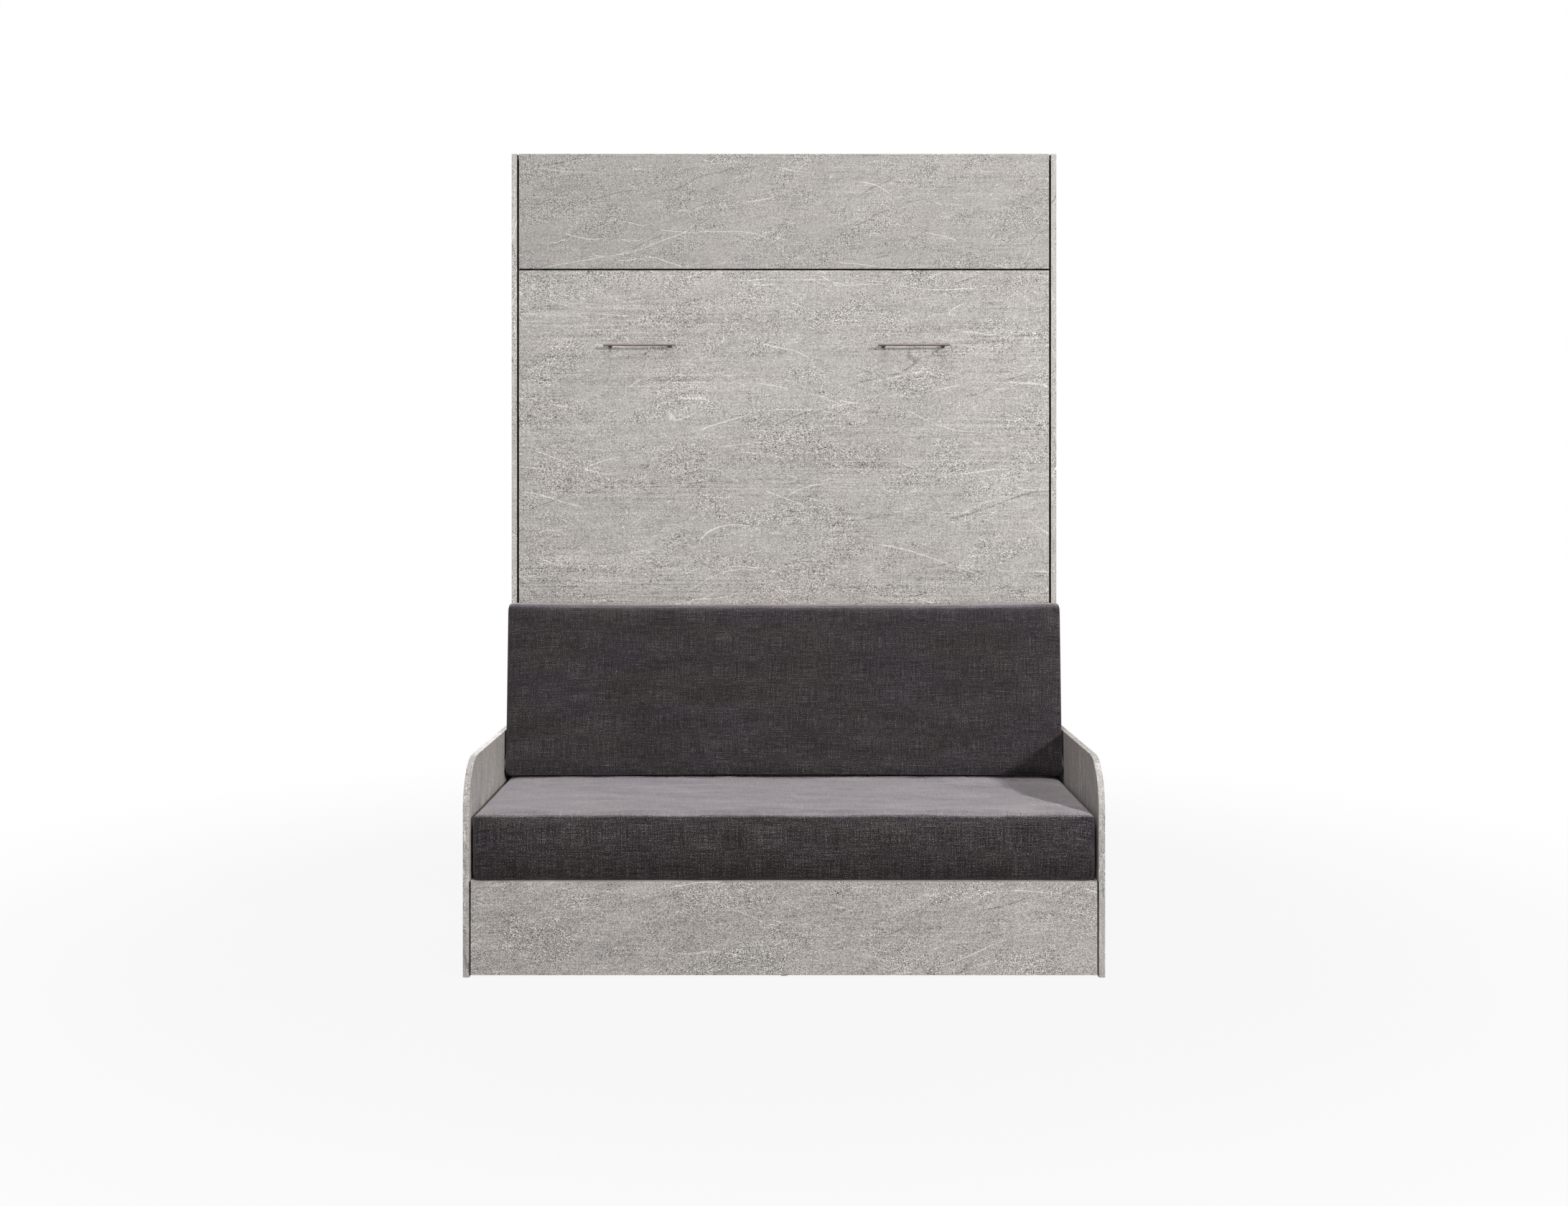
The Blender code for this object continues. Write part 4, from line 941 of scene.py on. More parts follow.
# %% [markdown]
# ## Shaping a cover
#
# Once a cover is stuffed, a few small moves finish it: the seam lines sink, the faces rise and
# dip a little as foam does under a loose cover, and the front draws in towards its foot.

# %% Helpers that shape a cover
GROOVE = 0.0022
SEAM_WIDTH = 0.0022
PAINTED_LIGHT_NAP_LIMITS = (0.35, 0.60, 0.80, 0.95)
BROAD_DIP = (0.11, 0.055, 3.7)
NARROW_DIP = (0.045, 0.030, 9.1)
NARROW_SHARE = 0.6


def sew_groove(obj, end_edge, half, middle):
    """Sink the seam lines round both ends."""
    places = points_of(obj.data)
    local = places - np.array(middle)
    away = np.abs(np.abs(local[:, 0]) - (half.x - end_edge))
    sink = GROOVE * np.exp(-(away / SEAM_WIDTH) ** 2)
    inward = np.array([0.0, half[1], half[2]])
    radial = local * np.array([0.0, 1.0, 1.0])
    core = np.clip(radial, -(inward - end_edge), inward - end_edge)
    out = radial - core
    length = np.linalg.norm(out, axis=1, keepdims=True)
    set_points(obj.data, places - out / np.maximum(length, NO_LENGTH) * sink[:, None])


def lay_painted_light_naps(obj, materials):
    """Give each face one of the naps: the more a face of the unstuffed block looks up, the lighter and
    shinier its copy of the cloth, as painted light.
    """
    for material in materials:
        obj.data.materials.append(material)
    for face in obj.data.polygons:
        face.material_index = sum(face.normal.z > limit for limit in PAINTED_LIGHT_NAP_LIMITS)


def dip_at(x, along, width, height, seed):
    """A slow rise and dip over the cloth, from -1 to 1."""
    return noise.noise(Vector((x / width, along / height, seed)))


def make_uneven(places, middle, half, height):
    """Let the top and the front of a cushion rise and dip a little."""
    for row, (x, y, z) in enumerate(places):
        dip = height * dip_at(x, y + z, *BROAD_DIP)
        dip += height * NARROW_SHARE * dip_at(x, y + z, *NARROW_DIP)
        upward = max(0.0, (z - middle.z) / half.z)
        forward = max(0.0, (middle.y - y) / half.y)
        places[row, 2] += (dip - height) * upward ** 6
        places[row, 1] += (dip + height) * forward ** 6


def draw_in(places, middle, half, depth):
    """Pull the lower half of a front face back, more towards its foot."""
    low = np.clip((middle.z - places[:, 2]) / half.z, 0.0, 1.0)
    forward = np.clip((middle.y - places[:, 1]) / half.y, 0.0, 1.0)
    places[:, 1] += depth * low ** 2 * forward ** 4


def finish_soft(obj, node, body):
    """Smooth a soft piece, put it on its body, hide the CAD node that it stands for and print its extent."""
    smooth = obj.modifiers.new("smooth", "SUBSURF")
    smooth.levels = 1
    smooth.render_levels = 1
    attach(obj, body)
    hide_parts(node)
    places = points_of(obj.data)
    print(obj.name, places.min(axis=0).round(4), places.max(axis=0).round(4))


print("The naps change at", len(PAINTED_LIGHT_NAP_LIMITS), "slopes")

# %% [markdown]
# ## Seat cushion
#
# One long cushion lies on the platform and reaches back under the backrest. Its top and front
# meet at a fairly sharp edge, its underside is flat on the board, and its ends just clear the
# arms. The block starts a little smaller than the cushion, to leave room for the swelling.

# %% Make the seat cushion
CUSHION_CELL = 0.012
CUSHION_PRESSURE = 0.5
CUSHION_SWELL = 0.004
SEAT_CROWN = 0.0025
SEAT_ROOM = (0.001, 0.0015)
SEAT_END_SWELL = 0.0015
SEAT_EDGE = 0.012
SEAT_END_EDGE = 0.018
SEAT_DRAW_IN = 0.005
SEAT_LOW_POWER = 5.0
UNEVEN = 0.0022
seat_low, seat_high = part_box("seat_cushion")
seat_half = (seat_high - seat_low) / 2
seat_half -= Vector((*SEAT_ROOM, (CUSHION_SWELL - SEAT_CROWN) / 2))
seat_middle = (seat_high + seat_low) / 2
seat_middle.z = seat_low.z + seat_half.z
seat, seat_pins = block_lattice(
    "seat_cushion_cover", seat_middle, seat_half, SEAT_EDGE, SEAT_END_EDGE, CUSHION_CELL, True, SEAT_LOW_POWER
)
lay_painted_light_naps(seat, seat_linen)
seat_places = stuff(seat, seat_pins, CUSHION_PRESSURE, CUSHION_SWELL)
make_uneven(seat_places, seat_middle, seat_half, UNEVEN)
draw_in(seat_places, seat_middle, seat_half, SEAT_DRAW_IN)
seat_places[:, 0] = np.clip(seat_places[:, 0], seat_low.x - SEAT_END_SWELL, seat_high.x + SEAT_END_SWELL)
seat_places[:, 2] = np.maximum(seat_places[:, 2], seat_low.z)
set_points(seat.data, seat_places)
sew_groove(seat, SEAT_END_EDGE, seat_half, seat_middle)
finish_soft(seat, "seat_cushion", "cabinet")

# %% [markdown]
# ## Backrest cushion
#
# The backrest is built upright, as its cover is sewn, and then leaned back about its pins with
# the board behind it. Its rear face lies flat on that board.

# %% Make the backrest cushion
BACKREST_LEAN = math.radians(5)
BACKREST_FOAM = 0.0877
BACKREST_HEIGHT = 0.484
BACKREST_RADIUS = 0.030
BACKREST_EDGE = 0.026
BACKREST_END_EDGE = 0.012
BACKREST_CROWN = 0.003
BACKREST_LOW_POWER = 9.0
backrest_pin = next(joint["pos_m"] for joint in frame["joints"] if joint["name"] == "backrest_fold")
back_low, back_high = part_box("backrest_cushion")
back_half = Vector((back_high.x, BACKREST_FOAM - CUSHION_SWELL, BACKREST_HEIGHT + BACKREST_CROWN))
back_half.yz /= 2
back_rear = backrest_pin[1] - BACKREST_RADIUS + BACKREST_FOAM
back_bottom = backrest_pin[2] - BACKREST_RADIUS
back_middle = Vector((0.0, back_rear - back_half.y, back_bottom + back_half.z))
back, back_pins = block_lattice(
    "backrest_cushion_cover",
    back_middle,
    back_half,
    BACKREST_EDGE,
    BACKREST_END_EDGE,
    CUSHION_CELL,
    True,
    BACKREST_LOW_POWER,
)
lay_painted_light_naps(back, backrest_linen)
back_places = stuff(back, back_pins, CUSHION_PRESSURE, CUSHION_SWELL)
back_places[:, 0] = np.clip(back_places[:, 0], back_low.x, back_high.x)
back_places[:, 1] = np.minimum(back_places[:, 1], back_rear)
back_places[:, 2] = np.maximum(back_places[:, 2], back_bottom)
set_points(back.data, back_places)
sew_groove(back, BACKREST_END_EDGE, back_half, back_middle)
lean = Matrix.Translation(backrest_pin) @ Euler((-BACKREST_LEAN, 0, 0)).to_matrix().to_4x4()
back.data.transform(lean @ Matrix.Translation(-Vector(backrest_pin)))
finish_soft(back, "backrest_cushion", "backrest")

# %% [markdown]
# ## Tubes, tapes and bands
#
# Piping, webbing and wire buckles are all one thing in the mesh: a small outline swept along a
# path. `sweep` takes the path as points with an outward direction each, and a third direction
# that stays the same all the way.

# %% Sweep an outline along a path

def round_frame(half_a, half_b, radius, turns=6):
    """Points and outward directions round a rectangle with round corners."""
    rows = []
    for sign_a, sign_b, start in ((1, 1, 0), (-1, 1, 90), (-1, -1, 180), (1, -1, 270)):
        for turn in range(turns + 1):
            angle = math.radians(start + 90 * turn / turns)
            out = (math.cos(angle), math.sin(angle))
            middle = (sign_a * (half_a - radius), sign_b * (half_b - radius))
            rows.append(((middle[0] + radius * out[0], middle[1] + radius * out[1]), out))
    return rows


def skin(bm, rings, closed=False):
    """Join rings of points into a tube, with a cap at each end unless the tube closes on itself."""
    count = len(rings[0])
    for first, second in zip(rings, rings[1:] + (rings[:1] if closed else [])):
        for index in range(count):
            after = (index + 1) % count
            bm.faces.new((first[index], first[after], second[after], second[index]))
    if not closed:
        bm.faces.new(rings[0])
        bm.faces.new(reversed(rings[-1]))


def sweep(bm, path, side, outline, closed=False):
    """Sweep (along side, outward) pairs along a path of (point, outward direction)."""
    side = Vector(side)
    rings = []
    for point, out in path:
        rings.append([bm.verts.new(Vector(point) + side * a + Vector(out) * b) for a, b in outline])
    skin(bm, rings, closed)


def circle(radius, sides=10):
    """A round outline."""
    angles = [2 * math.pi * index / sides for index in range(sides)]
    return [(radius * math.cos(angle), radius * math.sin(angle)) for angle in angles]


TAPE_EDGE = 0.0012


def flat_outline(width, thickness):
    """A tape's outline with thinner edges."""
    half, thin = width / 2, thickness / 2
    edge = min(TAPE_EDGE, width / 4)
    upper = [(half, thin * 0.5), (half - edge, thin), (-half + edge, thin), (-half, thin * 0.5)]
    return upper + [(-a, -b) for a, b in upper]


def new_piece(name, bm, material, body, smooth=True):
    """Turn a bmesh into a piece that rides on a body."""
    bmesh.ops.recalc_face_normals(bm, faces=bm.faces)
    mesh = bpy.data.meshes.new(name)
    bm.to_mesh(mesh)
    bm.free()
    if smooth:
        mesh.shade_smooth()
    obj = bpy.data.objects.new(name, mesh)
    scene.collection.objects.link(obj)
    mesh.materials.append(material)
    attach(obj, body)
    return obj


print("A corner of a frame has", len(round_frame(1.0, 1.0, 0.1)) // 4, "points")

# %% [markdown]
# ## Mattress
#
# The mattress stands on its edge in the cabinet while the bed is shut. It is foam in a quilted
# cover: stitched lines cross it in diamonds, and the filling swells between them. The side band
# is a plain mesh cloth that lets the foam breathe.
#
# One finish holds both cloths. It tells the panels from the band by how far a point is from the
# middle of the mattress.

# %% Mattress finish
CELL = 1 / 60
QUILT = 12 * CELL
KNIT_LOOP = 0.0024
BAND_HOLE = 0.0050
STITCH = 0.0050
STITCH_SLOPE = 0.37
PANEL_TURN = 0.0125
PANEL_BLEND = 0.0010
KNIT_LIGHT = (0.64, 0.63, 0.60, 1.0)
KNIT_DARK = (0.48, 0.47, 0.45, 1.0)
BAND_LIGHT = (0.44, 0.44, 0.45, 1.0)
BAND_DARK = (0.20, 0.20, 0.21, 1.0)
mattress_low, mattress_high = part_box("mattress")
mattress_half = (mattress_high - mattress_low) / 2
mattress_middle = (mattress_high + mattress_low) / 2


def quilt_finish():
    """Off-white knit with stitched diamonds, and a grey mesh round the sides."""
    material, tree, shader = new_finish("quilted knit")
    place = object_place(tree, tuple(-value for value in mattress_middle))
    x, y, z = axes_of(tree, place)
    lines = [calc(tree, "PINGPONG", calc(tree, how, x, z), QUILT / 2) for how in ("ADD", "SUBTRACT")]
    stitched = stretch(tree, calc(tree, "MINIMUM", *lines), 0.0008, 0.0030, 1.0, 0.0)
    along = calc(tree, "ADD", x, calc(tree, "MULTIPLY", z, STITCH_SLOPE))
    thread = stretch(tree, calc(tree, "PINGPONG", along, STITCH / 2), 0.0004, 0.0010)
    stitches = calc(tree, "MULTIPLY", stitched, thread)
    loops = calc(tree, "MULTIPLY", ripple(tree, x, KNIT_LOOP), ripple(tree, z, KNIT_LOOP))
    cloud = calc(tree, "MULTIPLY_ADD", spots(tree, place, (0.004,) * 3), 0.7, -0.05)
    share = calc(tree, "MULTIPLY_ADD", loops, 0.18, cloud)
    # Painted shade: the knit is a little darker along the stitched lines, where the cover creases
    share = calc(tree, "MULTIPLY_ADD", stitched, 0.20, share, clamp=True)
    panel = blend_colours(tree, share, KNIT_LIGHT, KNIT_DARK)
    across = calc(tree, "ADD", x, z)
    slopes = [ripple(tree, calc(tree, how, across, y), BAND_HOLE) for how in ("ADD", "SUBTRACT")]
    holes = stretch(tree, calc(tree, "MULTIPLY", *slopes), -0.2, 0.6)
    band = blend_colours(tree, holes, BAND_LIGHT, BAND_DARK)
    turn_at = mattress_half.y - PANEL_TURN
    on_panel = stretch(tree, calc(tree, "ABSOLUTE", y), turn_at, turn_at + PANEL_BLEND)
    panel_height = calc(tree, "MULTIPLY_ADD", loops, 0.25, calc(tree, "MULTIPLY", stitches, -1.2))
    height = add(tree, "Mix", {0: on_panel, 2: calc(tree, "MULTIPLY", holes, -0.6), 3: panel_height})
    set_inputs(tree, shader, {
        "Base Color": blend_colours(tree, on_panel, band, panel),
        "Normal": relief(tree, height, KNIT_LOOP / 4),
        "Roughness": 0.9,
        "Specular IOR Level": 0.2,
        "Sheen Weight": 0.25,
    })
    return material


quilted = quilt_finish()
print("Quilting lines are", round(QUILT * 1000 / math.sqrt(2)), "mm apart")

# %% [markdown]
# The lattice has square cells, so its diagonals can be the stitched lines. Those points dip, and
# they are pinned while the cover is blown up. The corners are drawn round as seen from above. The
# underside stays flat, because it lies on the slats, and the two straps press the top down.

# %% Shape the mattress
MATTRESS_CORNER = 0.050
LINE_DIP = 0.0040
LINE_WIDTH = 0.009


def round_corners(places, plan, flat, middle):
    """Draw the corners of the plan in until they are round."""
    over = np.maximum(np.abs(plan) - flat, 0.0)
    share = over.max(axis=1) / np.maximum(np.hypot(over[:, 0], over[:, 1]), NO_LENGTH)
    inside = np.minimum(np.abs(plan), flat) + over * share[:, None]
    places[:, [0, 2]] = np.array(middle)[[0, 2]] + np.sign(plan) * inside


def stitch_down(places, local, plan, half_y):
    """Dip the stitched lines of the top, and say which points are on a panel and on a line."""
    sums = np.stack([plan.sum(axis=1), plan[:, 0] - plan[:, 1]], axis=1)
    to_line = np.abs((sums / QUILT + 0.5) % 1.0 - 0.5).min(axis=1) * QUILT / math.sqrt(2)
    on_panel = np.abs(local[:, 1]) > half_y - TINY
    dip = LINE_DIP * np.exp(-((to_line / LINE_WIDTH) ** 2))
    places[:, 1] -= np.where(on_panel & (local[:, 1] > 0), dip, 0.0)
    return on_panel, to_line < CELL * 0.2


print("Corners of", MATTRESS_CORNER, "m")

# %% Make the mattress
QUILT_DEPTH = 0.006
QUILT_PRESSURE = 9.0
PRESS = 0.0020
PRESS_HALF = 0.024
PRESS_SLOPE = 0.035
STRAP_Z = [sum(corner.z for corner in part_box(f"mattress_strap_{end}")) / 2 for end in ("head", "foot")]
room = Vector((0.0, QUILT_DEPTH / 2, 0.0))
cover_half = mattress_half - room
cover_middle = mattress_middle - room
mattress, _ = block_lattice("mattress_cover", cover_middle, cover_half, CELL, CELL, CELL)
mattress_places = points_of(mattress.data)
local = mattress_places - np.array(cover_middle)
plan = local[:, [0, 2]]
flat = np.array([cover_half.x, cover_half.z]) - MATTRESS_CORNER
round_corners(mattress_places, plan, flat, cover_middle)
on_panel, on_line = stitch_down(mattress_places, local, plan, cover_half.y)
set_points(mattress.data, mattress_places)
near_rim = (np.abs(plan) > flat + MATTRESS_CORNER - CELL * 1.01).any(axis=1)
pins = np.flatnonzero(~on_panel | on_line | near_rim).tolist()
mattress_places = stuff(mattress, pins, QUILT_PRESSURE, QUILT_DEPTH)
mattress_places[:, 1] = np.clip(mattress_places[:, 1], mattress_low.y, mattress_high.y)
from_strap = np.abs(mattress_places[:, 2][:, None] - np.array(STRAP_Z)).min(axis=1)
rise = np.clip((from_strap - PRESS_HALF) / PRESS_SLOPE, 0.0, 1.0)
ceiling = mattress_high.y - PRESS * (1 - rise * rise * (3 - 2 * rise))
mattress_places[:, 1] = np.minimum(mattress_places[:, 1], ceiling)
set_points(mattress.data, mattress_places)
mattress.data.materials.append(quilted)
finish_soft(mattress, "mattress", "bed")

# %% [markdown]
# A sewn tape runs round both edges of the side band. It is a thin round tube, swept along the
# mattress's outline.

# %% Sew the tapes round the mattress
TAPE_RADIUS = 0.0050
TAPE_INSET = 0.0060
tape_cloth = grained("edge tape", (0.30, 0.30, 0.31), 0.0, 0.85, 0.1, (0.0012,) * 3, 0.0002)
tape_half = mattress_half - Vector((TAPE_INSET,) * 3)
tape_ring = round_frame(tape_half.x, tape_half.z, MATTRESS_CORNER - TAPE_INSET)
for place_name, sign in (("upper", 1), ("lower", -1)):
    bm = bmesh.new()
    path = [
        (mattress_middle + Vector((a, sign * tape_half.y, b)), (out[0], 0.0, out[1]))
        for (a, b), out in tape_ring
    ]
    sweep(bm, path, (0.0, 1.0, 0.0), circle(TAPE_RADIUS), closed=True)
    new_piece(f"mattress_tape_{place_name}", bm, tape_cloth, "bed")
print("Two tapes sewn round the mattress")

# %% [markdown]
# ## Mattress straps
#
# Two straps of woven webbing hold the mattress down while the bed stands upright. Each goes up
# one side of it, over the top and down the other side. A flat band has almost no thickness, so
# it is swept directly: a cloth simulation would lose it. The strap is pulled tight by a sliding
# buckle, and its tail lies back over it.

# %% Webbing
WEB_DARK = (0.016, 0.016, 0.017, 1.0)
WEB_LIGHT = (0.060, 0.060, 0.062, 1.0)
WEB_WIDTH = 0.040
WEB_THICK = 0.0014
WEB_RIB = 0.0022
WEB_RELIEF = 0.0003


def webbing():
    """Black woven tape: ribs across it, and a few ridges along it."""
    material, tree, shader = new_finish("black webbing")
    place = object_place(tree)
    x, y, z = axes_of(tree, place)
    ribs = ripple(tree, calc(tree, "ADD", x, y), WEB_RIB)
    weave = calc(tree, "MULTIPLY", ribs, ripple(tree, z, 2 * WEB_RIB))
    fuzz = calc(tree, "MULTIPLY", spots(tree, place, (0.0010,) * 3, 1.0), 0.8)
    share = calc(tree, "MULTIPLY_ADD", weave, 0.28, fuzz, clamp=True)
    set_inputs(tree, shader, {
        "Base Color": blend_colours(tree, share, WEB_DARK, WEB_LIGHT),
        "Normal": relief(tree, weave, WEB_RELIEF),
        "Roughness": 0.7,
        "Sheen Weight": 0.2,
    })
    return material


web = webbing()
print("Webbing is", WEB_WIDTH * 1000, "mm wide")

# %% [markdown]
# The path of a strap climbs the side, turns round the tape and comes down a little to the
# pressed top. Only its right half is listed, because the left half is the same, mirrored.

# %% The path of a strap
CLEAR = 0.0003
STRAP_SIDE = mattress_half.x + 0.0010
STRAP_TOP = mattress_high.y - PRESS + WEB_THICK / 2 + CLEAR
TURN_STEPS = 6
EASE_STEP = 0.016
EASE_SHARES = (0.85, 0.45, 0.12, 0.0)
FLAT_START = 0.60
strap_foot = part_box("mattress_strap_head")[0].y + CLEAR
AWAY = (0.0, 1.0, 0.0)
ALONG_BED = (0.0, 0.0, 1.0)


def strap_path(z):
    """Up one side of the mattress, round its tape, over the top and down the other side."""
    turn_x = mattress_half.x - TAPE_INSET
    turn_y = mattress_high.y - TAPE_INSET
    turn_radius = STRAP_SIDE - turn_x
    right = [((STRAP_SIDE, y, z), (1.0, 0.0, 0.0)) for y in steps(strap_foot, turn_y, 0.02)]
    for step in range(TURN_STEPS + 1):
        angle = math.radians(90 * step / TURN_STEPS)
        out = (math.cos(angle), math.sin(angle), 0.0)
        right.append(((turn_x + turn_radius * out[0], turn_y + turn_radius * out[1], z), out))
    drop = turn_y + turn_radius - STRAP_TOP
    for step, share in enumerate(EASE_SHARES, 1):
        right.append(((mattress_half.x - EASE_STEP * step, STRAP_TOP + drop * share, z), AWAY))
    right.append(((FLAT_START, STRAP_TOP, z), AWAY))
    left = [((-point[0], point[1], z), (-out[0], out[1], 0.0)) for point, out in reversed(right)]
    return right + [((0.0, STRAP_TOP, z), AWAY)] + left


print("A strap's path has", len(strap_path(0.0)), "points")

# %% [markdown]
# The webbing loops over the bar of a wire buckle, and its tail lies back on the strap.

# %% Make the straps
BUCKLE_X = 0.24
BUCKLE_HALF = (0.0170, 0.0255)
BUCKLE_CORNER = 0.004
BUCKLE_WIRE = 0.0018
BUCKLE_RISE = 0.0012
BAR_HALF = 0.0250
TAIL_WIDTH_SHARE = 0.97
# How far each point of the tail lies beyond the buckle, and above the strap
TAIL = (
    (-0.011, -0.0004),
    (-0.006, 0.0030),
    (0.0, 0.0044),
    (0.006, 0.0030),
    (0.013, 0.0),
    (0.05, 0.0),
    (0.10, 0.0003),
    (0.16, 0.0008),
)
lift = STRAP_TOP + WEB_THICK + 0.0002
for end, z in zip(("head", "foot"), STRAP_Z):
    bm = bmesh.new()
    sweep(bm, strap_path(z), ALONG_BED, flat_outline(WEB_WIDTH, WEB_THICK))
    tail = [((BUCKLE_X + beyond, lift + above, z), AWAY) for beyond, above in TAIL]
    sweep(bm, tail, ALONG_BED, flat_outline(WEB_WIDTH * TAIL_WIDTH_SHARE, WEB_THICK))
    strap = new_piece(f"mattress_strap_{end}_webbing", bm, web, "bed", smooth=False)
    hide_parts(f"mattress_strap_{end}")
    bm = bmesh.new()
    middle = Vector((BUCKLE_X, lift + BUCKLE_RISE, z))
    ring = round_frame(*BUCKLE_HALF, BUCKLE_CORNER)
    path = [(middle + Vector((a, 0.0, b)), (out[0], 0.0, out[1])) for (a, b), out in ring]
    sweep(bm, path, AWAY, circle(BUCKLE_WIRE, 8), closed=True)
    bar = [(middle + Vector((0.0, 0.0, b)), (1.0, 0.0, 0.0)) for b in (-BAR_HALF, BAR_HALF)]
    sweep(bm, bar, AWAY, circle(BUCKLE_WIRE, 8))
    new_piece(f"mattress_strap_{end}_buckle", bm, grey_paint, "bed")
print("Straps at", [round(z, 3) for z in STRAP_Z], "m up the closed bed")

# %% [markdown]
# ## Small turned pieces
#
# Screw heads, bolts, nails and the sleeves of the handles are all turned shapes: an outline that
# goes once round an axis. `turn` makes one from pairs of height and radius. Each group of equal
# heads is one piece, because a hundred objects of one nail each would only slow Blender down.

# %% Turn small shapes

def turn(bm, foot, axis, outline, sides=12):
    """Spin pairs of (height, radius) round an axis that starts at a foot point."""
    spin = Vector(axis).to_track_quat("Z", "Y").to_matrix()
    rings = []
    for height, radius in outline:
        ring = [Vector((a, b, height)) for a, b in circle(radius, sides)]
        rings.append([bm.verts.new(Vector(foot) + spin @ point) for point in ring])
    skin(bm, rings)


def socket_head(radius, height):
    """Outline of a round screw head with a socket in its middle."""
    return [
        (0.0, radius),
        (height * 0.45, radius),
        (height * 0.85, radius * 0.86),
        (height, radius * 0.60),
        (height * 0.96, radius * 0.42),
        (height * 0.40, radius * 0.36),
    ]


def heads(name, body, material, places, axis, outline, sides=12):
    """One piece with the same turned head at several places."""
    bm = bmesh.new()
    for place in places:
        turn(bm, place, axis, outline, sides)
    return new_piece(name, bm, material, body)


print("A head's outline has", len(socket_head(1.0, 1.0)), "points")

# %% [markdown]
# Each handle is a bar on two posts. A dark sleeve stands round each post, with a collar on the
# panel.

# %% Sleeves on the handle posts
POST_SPACING = 0.173
PANEL_CLEAR = 0.0002
SLEEVE = (
    (0.0, 0.0060),
    (0.0014, 0.0060),
    (0.0024, 0.0048),
    (0.0060, 0.0042),
    (0.0240, 0.0038),
    (0.0262, 0.0033),
)
panel_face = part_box("front_panel_main")[0].y
for side in ("left", "right"):
    middle = sum(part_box(f"handle_{side}"), Vector()) / 2
    places = [(middle.x + way * POST_SPACING / 2, panel_face - PANEL_CLEAR, middle.z) for way in (-1, 1)]
    heads(f"handle_{side}_sleeves", "bed", sleeve_steel, places, (0, -1, 0), SLEEVE, 16)
print("Sleeves stand on the panel at y =", round(panel_face, 4))

# %% [markdown]
# Steel plates are held by screws. The pivot plates take the weight of the bed, so they have five
# each. The strut plates have two, and the brackets are bolted to the rails.

# %% Screws and bolts
SCREW = socket_head(0.0045, 0.0022)
BOLT = socket_head(0.0065, 0.0030)
PLATE = 0.003
PIVOT_SCREW_SIDE = 0.018
PIVOT_SCREW_DROPS = (0.014, 0.060)
PIVOT_MIDDLE_DROP = 0.037
STRUT_SCREW_EDGE = 0.009
BRACKET_BOLT_DROPS = (0.018, 0.068, 0.118)


def outer_face(box, sign, depth=0.0):
    """X of the face of a box that is furthest from the middle, less a depth."""
    return sign * (max(abs(corner.x) for corner in box) - depth)


for side, sign in (("left", -1), ("right", 1)):
    inward = (-sign, 0, 0)
    low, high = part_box(f"pivot_plate_{side}")
    face = outer_face((low, high), sign, PLATE)
    y = (low.y + high.y) / 2
    corners = [(way * PIVOT_SCREW_SIDE, drop) for way in (-1, 1) for drop in PIVOT_SCREW_DROPS]
    screws = [(face, y + aside, high.z - drop) for aside, drop in corners + [(0.0, PIVOT_MIDDLE_DROP)]]
    heads(f"pivot_plate_{side}_screws", "cabinet", zinc, screws, inward, SCREW)
    low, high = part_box(f"strut_plate_{side}")
    face = outer_face((low, high), sign, PLATE)
    y = (low.y + high.y) / 2
    screws = [(face, y, z) for z in (low.z + STRUT_SCREW_EDGE, high.z - STRUT_SCREW_EDGE)]
    heads(f"strut_plate_{side}_screws", "cabinet", zinc, screws, inward, SCREW)
    low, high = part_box(f"bed_bracket_{side}")
    y = sum(corner.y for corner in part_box(f"bed_rail_{side}")) / 2
    bolts = [(outer_face((low, high), sign), y, high.z - drop) for drop in BRACKET_BOLT_DROPS]
    heads(f"bed_bracket_{side}_bolts", "bed", zinc, bolts, (sign, 0, 0), BOLT)
print("Plates and brackets are screwed on")

# %% [markdown]
# The back sheets are nailed on all round, a hand's width apart: to both sides, and to the top or
# the rear rail.

# %% Nails of the back sheets
NAIL = ((0.0, 0.0034), (0.0004, 0.0034), (0.0007, 0.0022), (0.0008, 0.0008))
NAIL_STEP = 0.10
NAIL_MARGIN = 0.03
side_middle = sum(corner.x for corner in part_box("cabinet_side_right")) / 2
top_middle = sum(corner.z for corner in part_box("cabinet_top")) / 2
rail_middle = sum(corner.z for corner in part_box("rear_rail")) / 2
for sheet, level in (("lower", rail_middle), ("upper", top_middle)):
    low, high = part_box(f"back_sheet_{sheet}")
    last = high.z - NAIL_MARGIN
    heights = steps(low.z + NAIL_MARGIN, last, NAIL_STEP) + [last]
    places = [(x, high.y, z) for x in (-side_middle, side_middle) for z in heights]
    places += [(x, high.y, level) for x in steps(-side_middle, side_middle, NAIL_STEP)[1:]]
    heads(f"back_sheet_{sheet}_nails", "cabinet", zinc, places, (0, 1, 0), NAIL, 8)
    print(f"The {sheet} sheet has", len(places), "nails")

# %% [markdown]
# ## Light and floor
#
# The main light is a small, fairly hard lamp on the right. It makes the left arm's inner face
# bright and the right one's dark, and it throws the right arm's shadow on the backrest. A broad
# lamp above lights the seat, a weak one stands on the left, and one behind is for views of the
# back. The world fills in evenly. The floor and the world are white only for the camera and for
# reflections, so that they add no light of their own to the object.

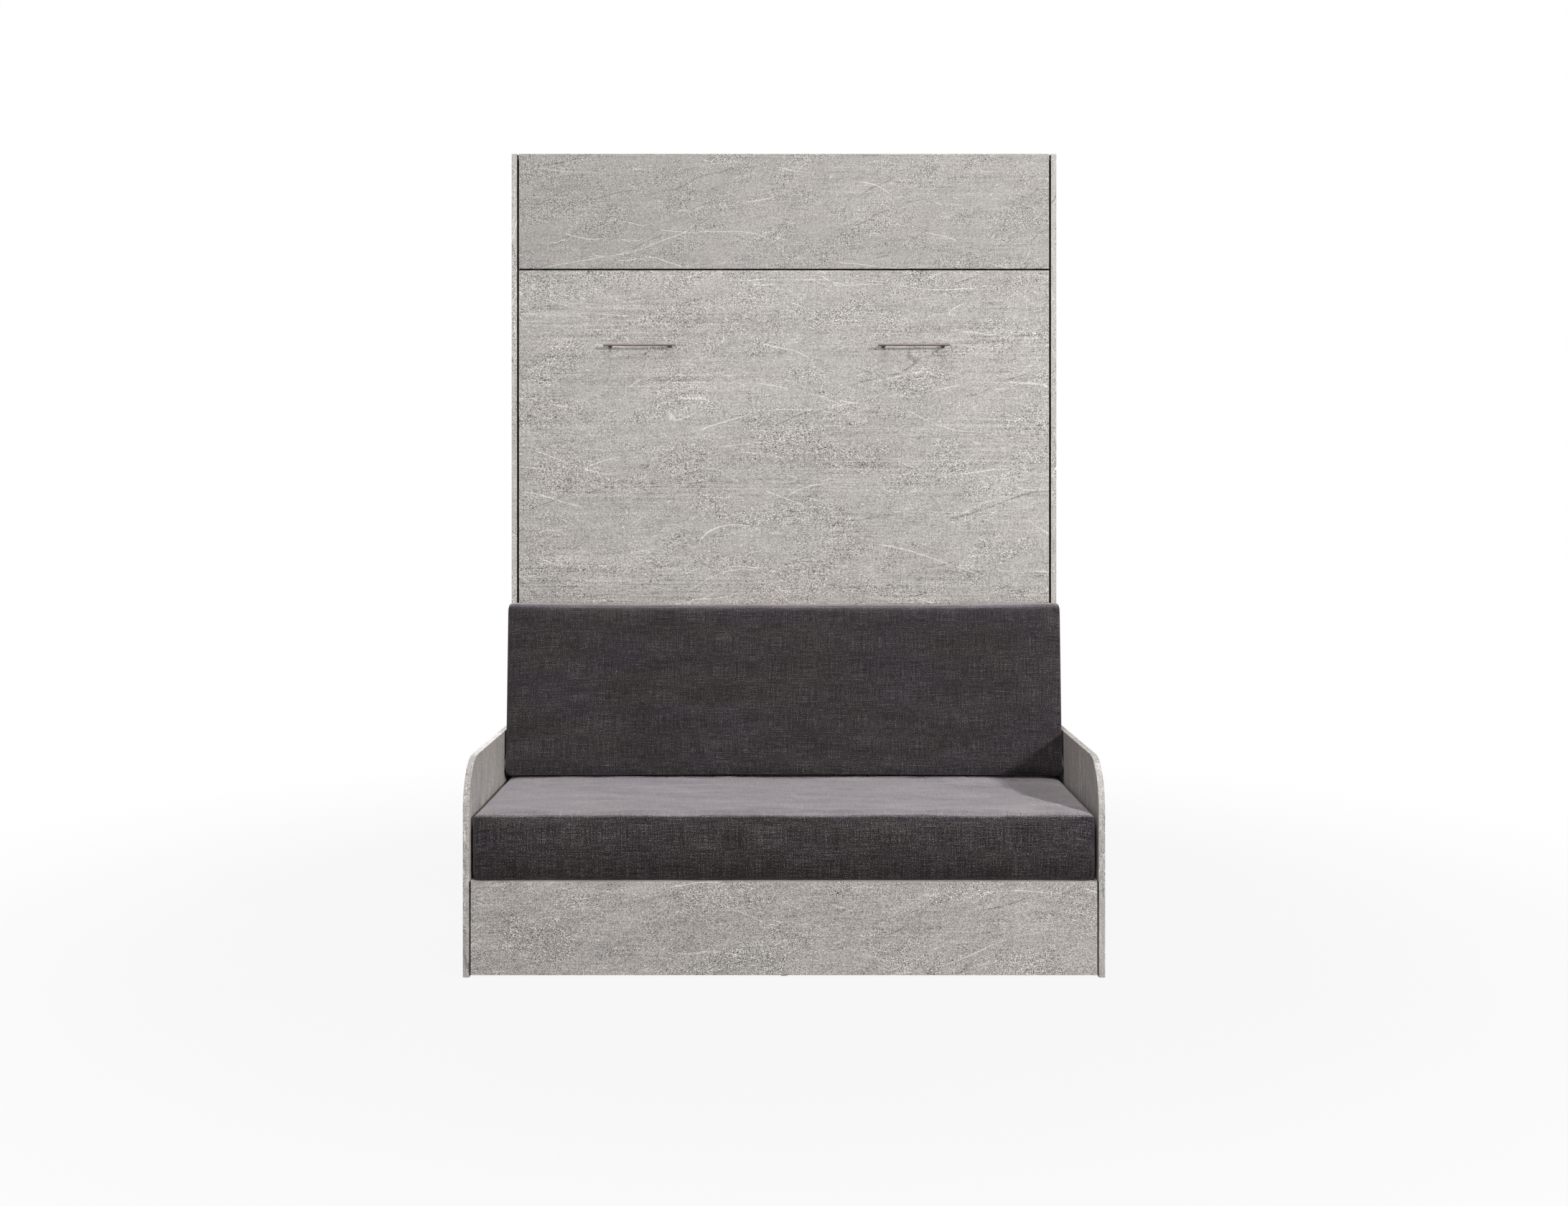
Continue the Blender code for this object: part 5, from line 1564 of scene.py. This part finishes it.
# %% Lamps and world
# Place, the point that it faces, width and power of each lamp
LAMPS = {
    "key lamp": ((4.8, -6.2, 3.3), (0.0, 0.0, 1.0), 0.6, 400),
    "front lamp": ((-1.8, -7.5, 1.5), (0.0, 0.0, 1.0), 3.0, 52),
    "top lamp": ((0.0, -1.6, 6.6), (0.0, -0.2, 0.4), 3.6, 265),
    "back lamp": ((-3.2, 6.4, 2.6), (0.0, 0.5, 1.1), 3.0, 260),
}
WORLD_LEVEL = 0.18


def lamp(name, place, aim, width, power):
    """A square soft lamp that faces a point."""
    light = bpy.data.lights.new(name, "AREA")
    light.energy = power
    light.size = width
    obj = bpy.data.objects.new(name, light)
    obj.location = place
    obj.rotation_euler = (Vector(aim) - Vector(place)).to_track_quat("-Z", "Y").to_euler()
    scene.collection.objects.link(obj)


def seen_ray(tree):
    """1 for what the camera sees, straight or in a reflection or through glass."""
    rays = tree.nodes.new("ShaderNodeLightPath").outputs
    seen = calc(tree, "MAXIMUM", rays["Is Camera Ray"], rays["Is Glossy Ray"])
    return calc(tree, "MAXIMUM", seen, rays["Is Transmission Ray"])


for name, facts in LAMPS.items():
    lamp(name, *facts)
world = bpy.data.worlds.new("studio")
scene.world = world
world.use_nodes = True
tree = world.node_tree
tree.nodes.clear()
level = calc(tree, "MULTIPLY_ADD", seen_ray(tree), 1.0 - WORLD_LEVEL, WORLD_LEVEL)
backdrop = add(tree, "Background", {"Color": WHITE, "Strength": level})
tree.links.new(backdrop, tree.nodes.new("ShaderNodeOutputWorld").inputs["Surface"])
print("Lamps:", ", ".join(LAMPS))

# %% [markdown]
# The floor has to be white, and yet show the shadow under the sofa. So it mixes a grey that takes
# shadows with a glow that only the camera sees, and further out it is all glow.

# %% Floor
FLOOR_REACH = 60.0
FLOOR_DROP = 0.0005
FLOOR_GREY = (0.30, 0.30, 0.30, 1.0)
NEAR_GLOW = 0.90
FADE = (1.2, 3.4)


def studio_floor():
    """Pale floor: it takes shadows near the object and fades to the white backdrop."""
    material = bpy.data.materials.new("pale floor")
    material.use_nodes = True
    tree = material.node_tree
    tree.nodes.clear()
    away = add(tree, "VectorMath", {0: object_place(tree)}, output=1, operation="LENGTH")
    glow = calc(tree, "MULTIPLY_ADD", stretch(tree, away, *FADE), 1.0 - NEAR_GLOW, NEAR_GLOW)
    matt = add(tree, "BsdfDiffuse", {"Color": FLOOR_GREY})
    light = add(tree, "Emission", {"Color": WHITE, "Strength": 1.0})
    both = add(tree, "MixShader", {0: calc(tree, "MULTIPLY", seen_ray(tree), glow), 1: matt, 2: light})
    tree.links.new(both, tree.nodes.new("ShaderNodeOutputMaterial").inputs["Surface"])
    return material


bm = bmesh.new()
bmesh.ops.create_grid(bm, x_segments=1, y_segments=1, size=FLOOR_REACH)
floor_mesh = bpy.data.meshes.new("floor")
bm.to_mesh(floor_mesh)
bm.free()
floor_mesh.materials.append(studio_floor())
floor = bpy.data.objects.new("floor", floor_mesh)
floor.location.z = -FLOOR_DROP
scene.collection.objects.link(floor)
print("The floor reaches", FLOOR_REACH, "m each way")
